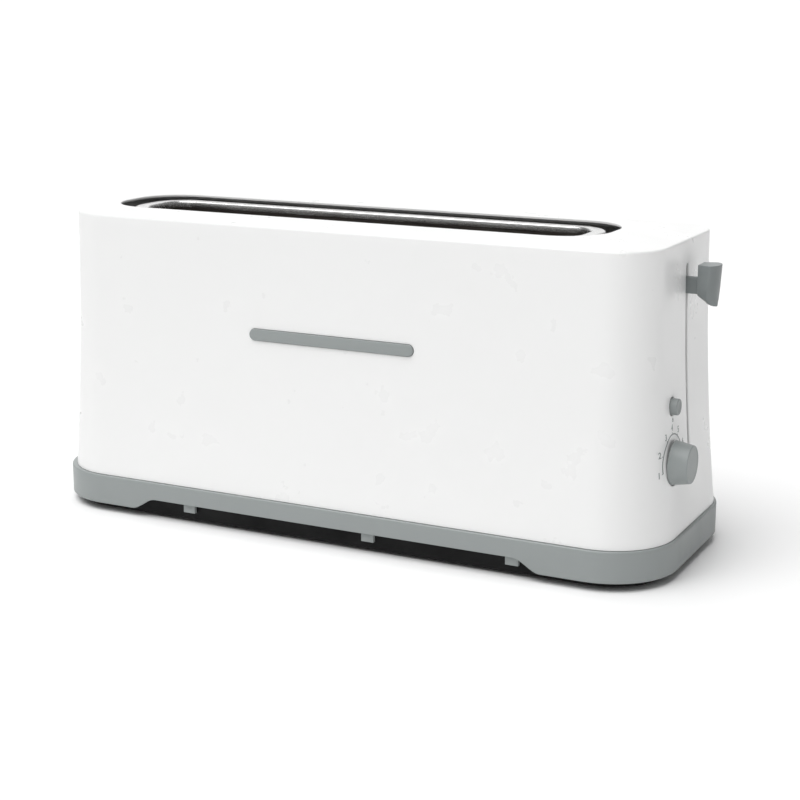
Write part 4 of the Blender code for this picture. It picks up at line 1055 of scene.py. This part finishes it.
def make_button():
    low, high = BUTTON_LOW, BUTTON_HIGH
    radius, flange = BUTTON_RADIUS, (high.z - low.z) / 2
    flange_start = end_wall(BUTTON_Y, BUTTON_Z) - SHELL_WALL - BUTTON_FLANGE_BACK
    stem = 0.0025
    face = high.x
    profile = [(0.0, face - 0.0007), (radius * 0.35, face - 0.00062), (radius * 0.62, face - 0.0004)]
    profile += [(radius * 0.82, face - 0.00008), (radius - 0.0006, face), (radius - 0.0003, face - 0.0001)]
    profile += [(radius - 0.0001, face - 0.0003), (radius, face - 0.0006)]
    profile += [(radius, flange_start + BUTTON_FLANGE), (flange, flange_start + BUTTON_FLANGE)]
    profile += [(flange, flange_start), (stem, flange_start), (stem, low.x), (0.0, low.x)]
    place = Matrix.Translation((0.0, BUTTON_Y, BUTTON_Z)) @ ALONG_X
    piece(turned("button_cap", profile, place), "satin_grey", "cancel", ["cancel_button"])


def make_browning_knob():
    """A plain knob that tapers outwards, with a shallow dish in its face."""
    radius = (KNOB_HIGH.z - KNOB_LOW.z) / 2
    face_radius, shaft = KNOB_FACE_RADIUS, KNOB_SHAFT
    face, back = KNOB_HIGH.x, KNOB_HIGH.x - KNOB_DEPTH
    edge, rim, dish = 0.0006, 0.0010, 0.00015
    profile = [(0.0, face - dish), (face_radius - rim - dish, face - dish), (face_radius - rim, face)]
    for step in range(6):
        angle = math.pi / 2 * step / 5
        profile.append((face_radius - edge * (1 - math.sin(angle)), face - edge * (1 - math.cos(angle))))
    profile += [(radius - 0.0002, back + 0.0006), (radius, back + 0.0003), (radius - 0.0002, back)]
    profile += [(shaft, back), (shaft, KNOB_LOW.x), (0.0, KNOB_LOW.x)]
    place = Matrix.Translation((0.0, KNOB_Y, KNOB_Z)) @ ALONG_X
    piece(turned("browning_dial", profile, place, 96), "satin_grey", "browning", ["browning_knob"])


# Printing round the browning knob


def on_end_wall(mesh, lift=0.00005):
    """Wraps a flat mesh, drawn in Y and Z, onto the end wall."""
    for vertex in mesh.vertices:
        depth, y, z = vertex.co
        vertex.co = (end_wall(y, z) + depth + lift, y, z)
    return mesh


def around(radius, degrees):
    angle = math.radians(degrees)
    return KNOB_Y + radius * math.cos(angle), KNOB_Z + radius * math.sin(angle)


def band(start, end, inner, outer, steps):
    angles = [start + (end - start) * i / steps for i in range(steps + 1)]
    return [around(outer, a) for a in angles] + [around(inner, a) for a in reversed(angles)]


def make_dial_print():
    ink = 0.00008
    first, last, numbers = 190.0, -10.0, 7
    arc_radius, arc_half = 0.0157, 0.0004
    tick_end, tick_half = arc_radius + 0.0011, 0.8
    number_radius = arc_radius + 0.0036
    mark_drop = 0.0077
    arc = band(last, first, arc_radius - arc_half, arc_radius + arc_half, 72)
    marks = [extruded("arc", [arc], ink, ALONG_X)]
    for number in range(1, numbers + 1):
        degrees = first + (last - first) * (number - 1) / (numbers - 1)
        tick = band(degrees - tick_half, degrees + tick_half, arc_radius, tick_end, 1)
        marks.append(extruded("tick", [tick], ink, ALONG_X))
        marks.append(numeral(str(number), around(number_radius, degrees), ink))
    y, z = BUTTON_Y, BUTTON_Z - mark_drop
    half, rise = 0.0014, 0.0015
    marks.append(extruded("eject", [[(y - half, z), (y + half, z), (y, z + rise)]], ink, ALONG_X))
    low, high = z - 0.0008, z - 0.0004
    bar = [(y - half, low), (y + half, low), (y + half, high), (y - half, high)]
    marks.append(extruded("eject_bar", [bar], ink, ALONG_X))
    printing = merged("dial_print", [on_end_wall(mark) for mark in marks])
    piece(printing, "satin_grey")


def numeral(text, centre, ink):
    """One upright number, its middle at the given Y and Z."""
    font = bpy.data.curves.new("numeral", "FONT")
    font.body = text
    font.size = 0.0050
    font.offset = 0.00008
    font.extrude = ink / 2
    font.align_x = "CENTER"
    font.align_y = "CENTER"
    mesh = welded(of_object(linked(font)))
    mesh.transform(Matrix.Translation((0.0, *centre)) @ ALONG_X)
    return mesh


# Crumb tray


def make_tray():
    """A folded tray with rounded corners and a rolled finger lip at the rear."""
    sheet = TRAY_SHEET
    low, high = TRAY_LOW, TRAY_HIGH
    back = HALF_Y - RING_WALL - GAP - PAN_WALL
    half_x, half_y = (high.x - low.x) / 2, (back - low.y) / 2
    centre_x, centre_y = (high.x + low.x) / 2, (back + low.y) / 2

    def outline(inset):
        return rounded_rectangle(half_x - inset, half_y - inset, 0.003 - inset / 2, centre_x, centre_y, 6)

    sections = [
        (outline(0.0006), low.z),
        (outline(0.0), low.z + 0.0006),
        (outline(0.0), high.z - 0.0002),
        (outline(0.0002), high.z),
        (outline(sheet - 0.0002), high.z),
        (outline(sheet), high.z - 0.0002),
        (outline(sheet), low.z + sheet + 0.0006),
        (outline(sheet + 0.0006), low.z + sheet),
    ]
    tray = loft("tray_pan", sections)
    piece(tray, "zinc_steel", "tray", ["crumb_tray"])
    half = 0.030
    lip_low = (centre_x - half, back - 0.0002, low.z + 0.0004)
    lip = block("lip", lip_low, (centre_x + half, high.y, high.z - 0.0004), 0.0006)
    half -= 0.004
    bead_low = (centre_x - half, high.y - 0.0012, low.z + 0.0016)
    bead = block("bead", bead_low, (centre_x + half, high.y + 0.0006, low.z + 0.0032), 0.0005)
    piece(merged("tray_handle", [lip, bead]), "zinc_steel", "tray")


def dress_frame():
    """Better materials on the CAD nodes that stay in view. The hot sheets are tinted."""
    for name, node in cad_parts.items():
        for held in node.material_slots:
            slot = held.material.name.split(".")[0]
            hot = name.endswith(("_reflector", "_end_plate"))
            held.material = FINISHES["tinted_steel" if hot else slot]


# Studio


def direction(azimuth, elevation):
    """In degrees. Azimuth 0 is the front and 90 is the lever end."""
    a, e = math.radians(azimuth), math.radians(elevation)
    return Vector((math.sin(a) * math.cos(e), -math.cos(a) * math.cos(e), math.sin(e)))


def make_camera():
    azimuth, elevation, distance = 27.05, 12.88, 1.0397
    target = Vector((MIDDLE_X, 0.0, 0.088))
    back = direction(azimuth, elevation)
    camera = bpy.data.cameras.new("camera")
    camera.lens = 76.67
    camera.sensor_width = 36.0
    camera.shift_x = 0.0224
    camera.shift_y = -0.031
    holder = linked(camera, "camera")
    holder.location = target + back * distance
    holder.rotation_mode = "QUATERNION"
    holder.rotation_quaternion = (-back).to_track_quat("-Z", "Y")
    bpy.context.scene.camera = holder


def make_floor():
    work = bmesh.new()
    bmesh.ops.create_circle(work, cap_ends=True, segments=96, radius=60.0)
    floor = linked(smooth_mesh("floor", work), "floor")
    paper = Surface("floor_paper", (0.95, 0.95, 0.95), 0.6)
    paper.vary_colour(paper.noise(3.0), (0.945, 0.945, 0.945))
    paper.vary_roughness(paper.noise(20.0), 0.05)
    floor.data.materials.append(paper.made)


def sun(name, azimuth, elevation, strength, softness):
    """Shines from the given direction. Softness is its width in the sky, in degrees."""
    light = bpy.data.lights.new(name, "SUN")
    light.energy = strength
    light.angle = math.radians(softness)
    holder = linked(light, name)
    holder.rotation_mode = "QUATERNION"
    holder.rotation_quaternion = direction(azimuth, elevation).to_track_quat("Z", "Y")


def make_sky():
    """Dim all round, but for a bright patch low down behind the toaster."""
    world = bpy.data.worlds.new("studio")
    world.use_nodes = True
    nodes, links = world.node_tree.nodes, world.node_tree.links
    facing = nodes.new("ShaderNodeVectorMath")
    facing.operation = "DOT_PRODUCT"
    facing.inputs[1].default_value = (-0.44, 0.87, 0.22)
    links.new(nodes.new("ShaderNodeTexCoord").outputs["Generated"], facing.inputs[0])
    share = nodes.new("ShaderNodeMapRange")
    share.inputs["From Min"].default_value = 0.72
    share.inputs["From Max"].default_value = 0.98
    share.inputs["To Min"].default_value = 0.25
    share.inputs["To Max"].default_value = 1.15
    links.new(facing.outputs["Value"], share.inputs["Value"])
    sky = nodes["Background"]
    sky.inputs["Color"].default_value = (1.0, 1.0, 1.0, 1.0)
    links.new(share.outputs["Result"], sky.inputs["Strength"])
    bpy.context.scene.world = world


def make_lights():
    make_sky()
    sun("overhead", -26.0, 70.0, 2.5, 55.0)
    sun("front_fill", -12.0, 30.0, 0.42, 90.0)
    bpy.context.scene.view_settings.view_transform = "Standard"


make_camera()
dress_frame()
make_shell()
make_ring()
make_pan()
make_feet()
make_screws()
make_gland()
make_slot_rim()
# a black ring under the gap that paints shade into it
make_heat_baffle()
make_heaters()
make_bread_guards()
make_spring()
make_lever_knob()
make_button()
make_browning_knob()
make_dial_print()
make_tray()
make_floor()
make_lights()
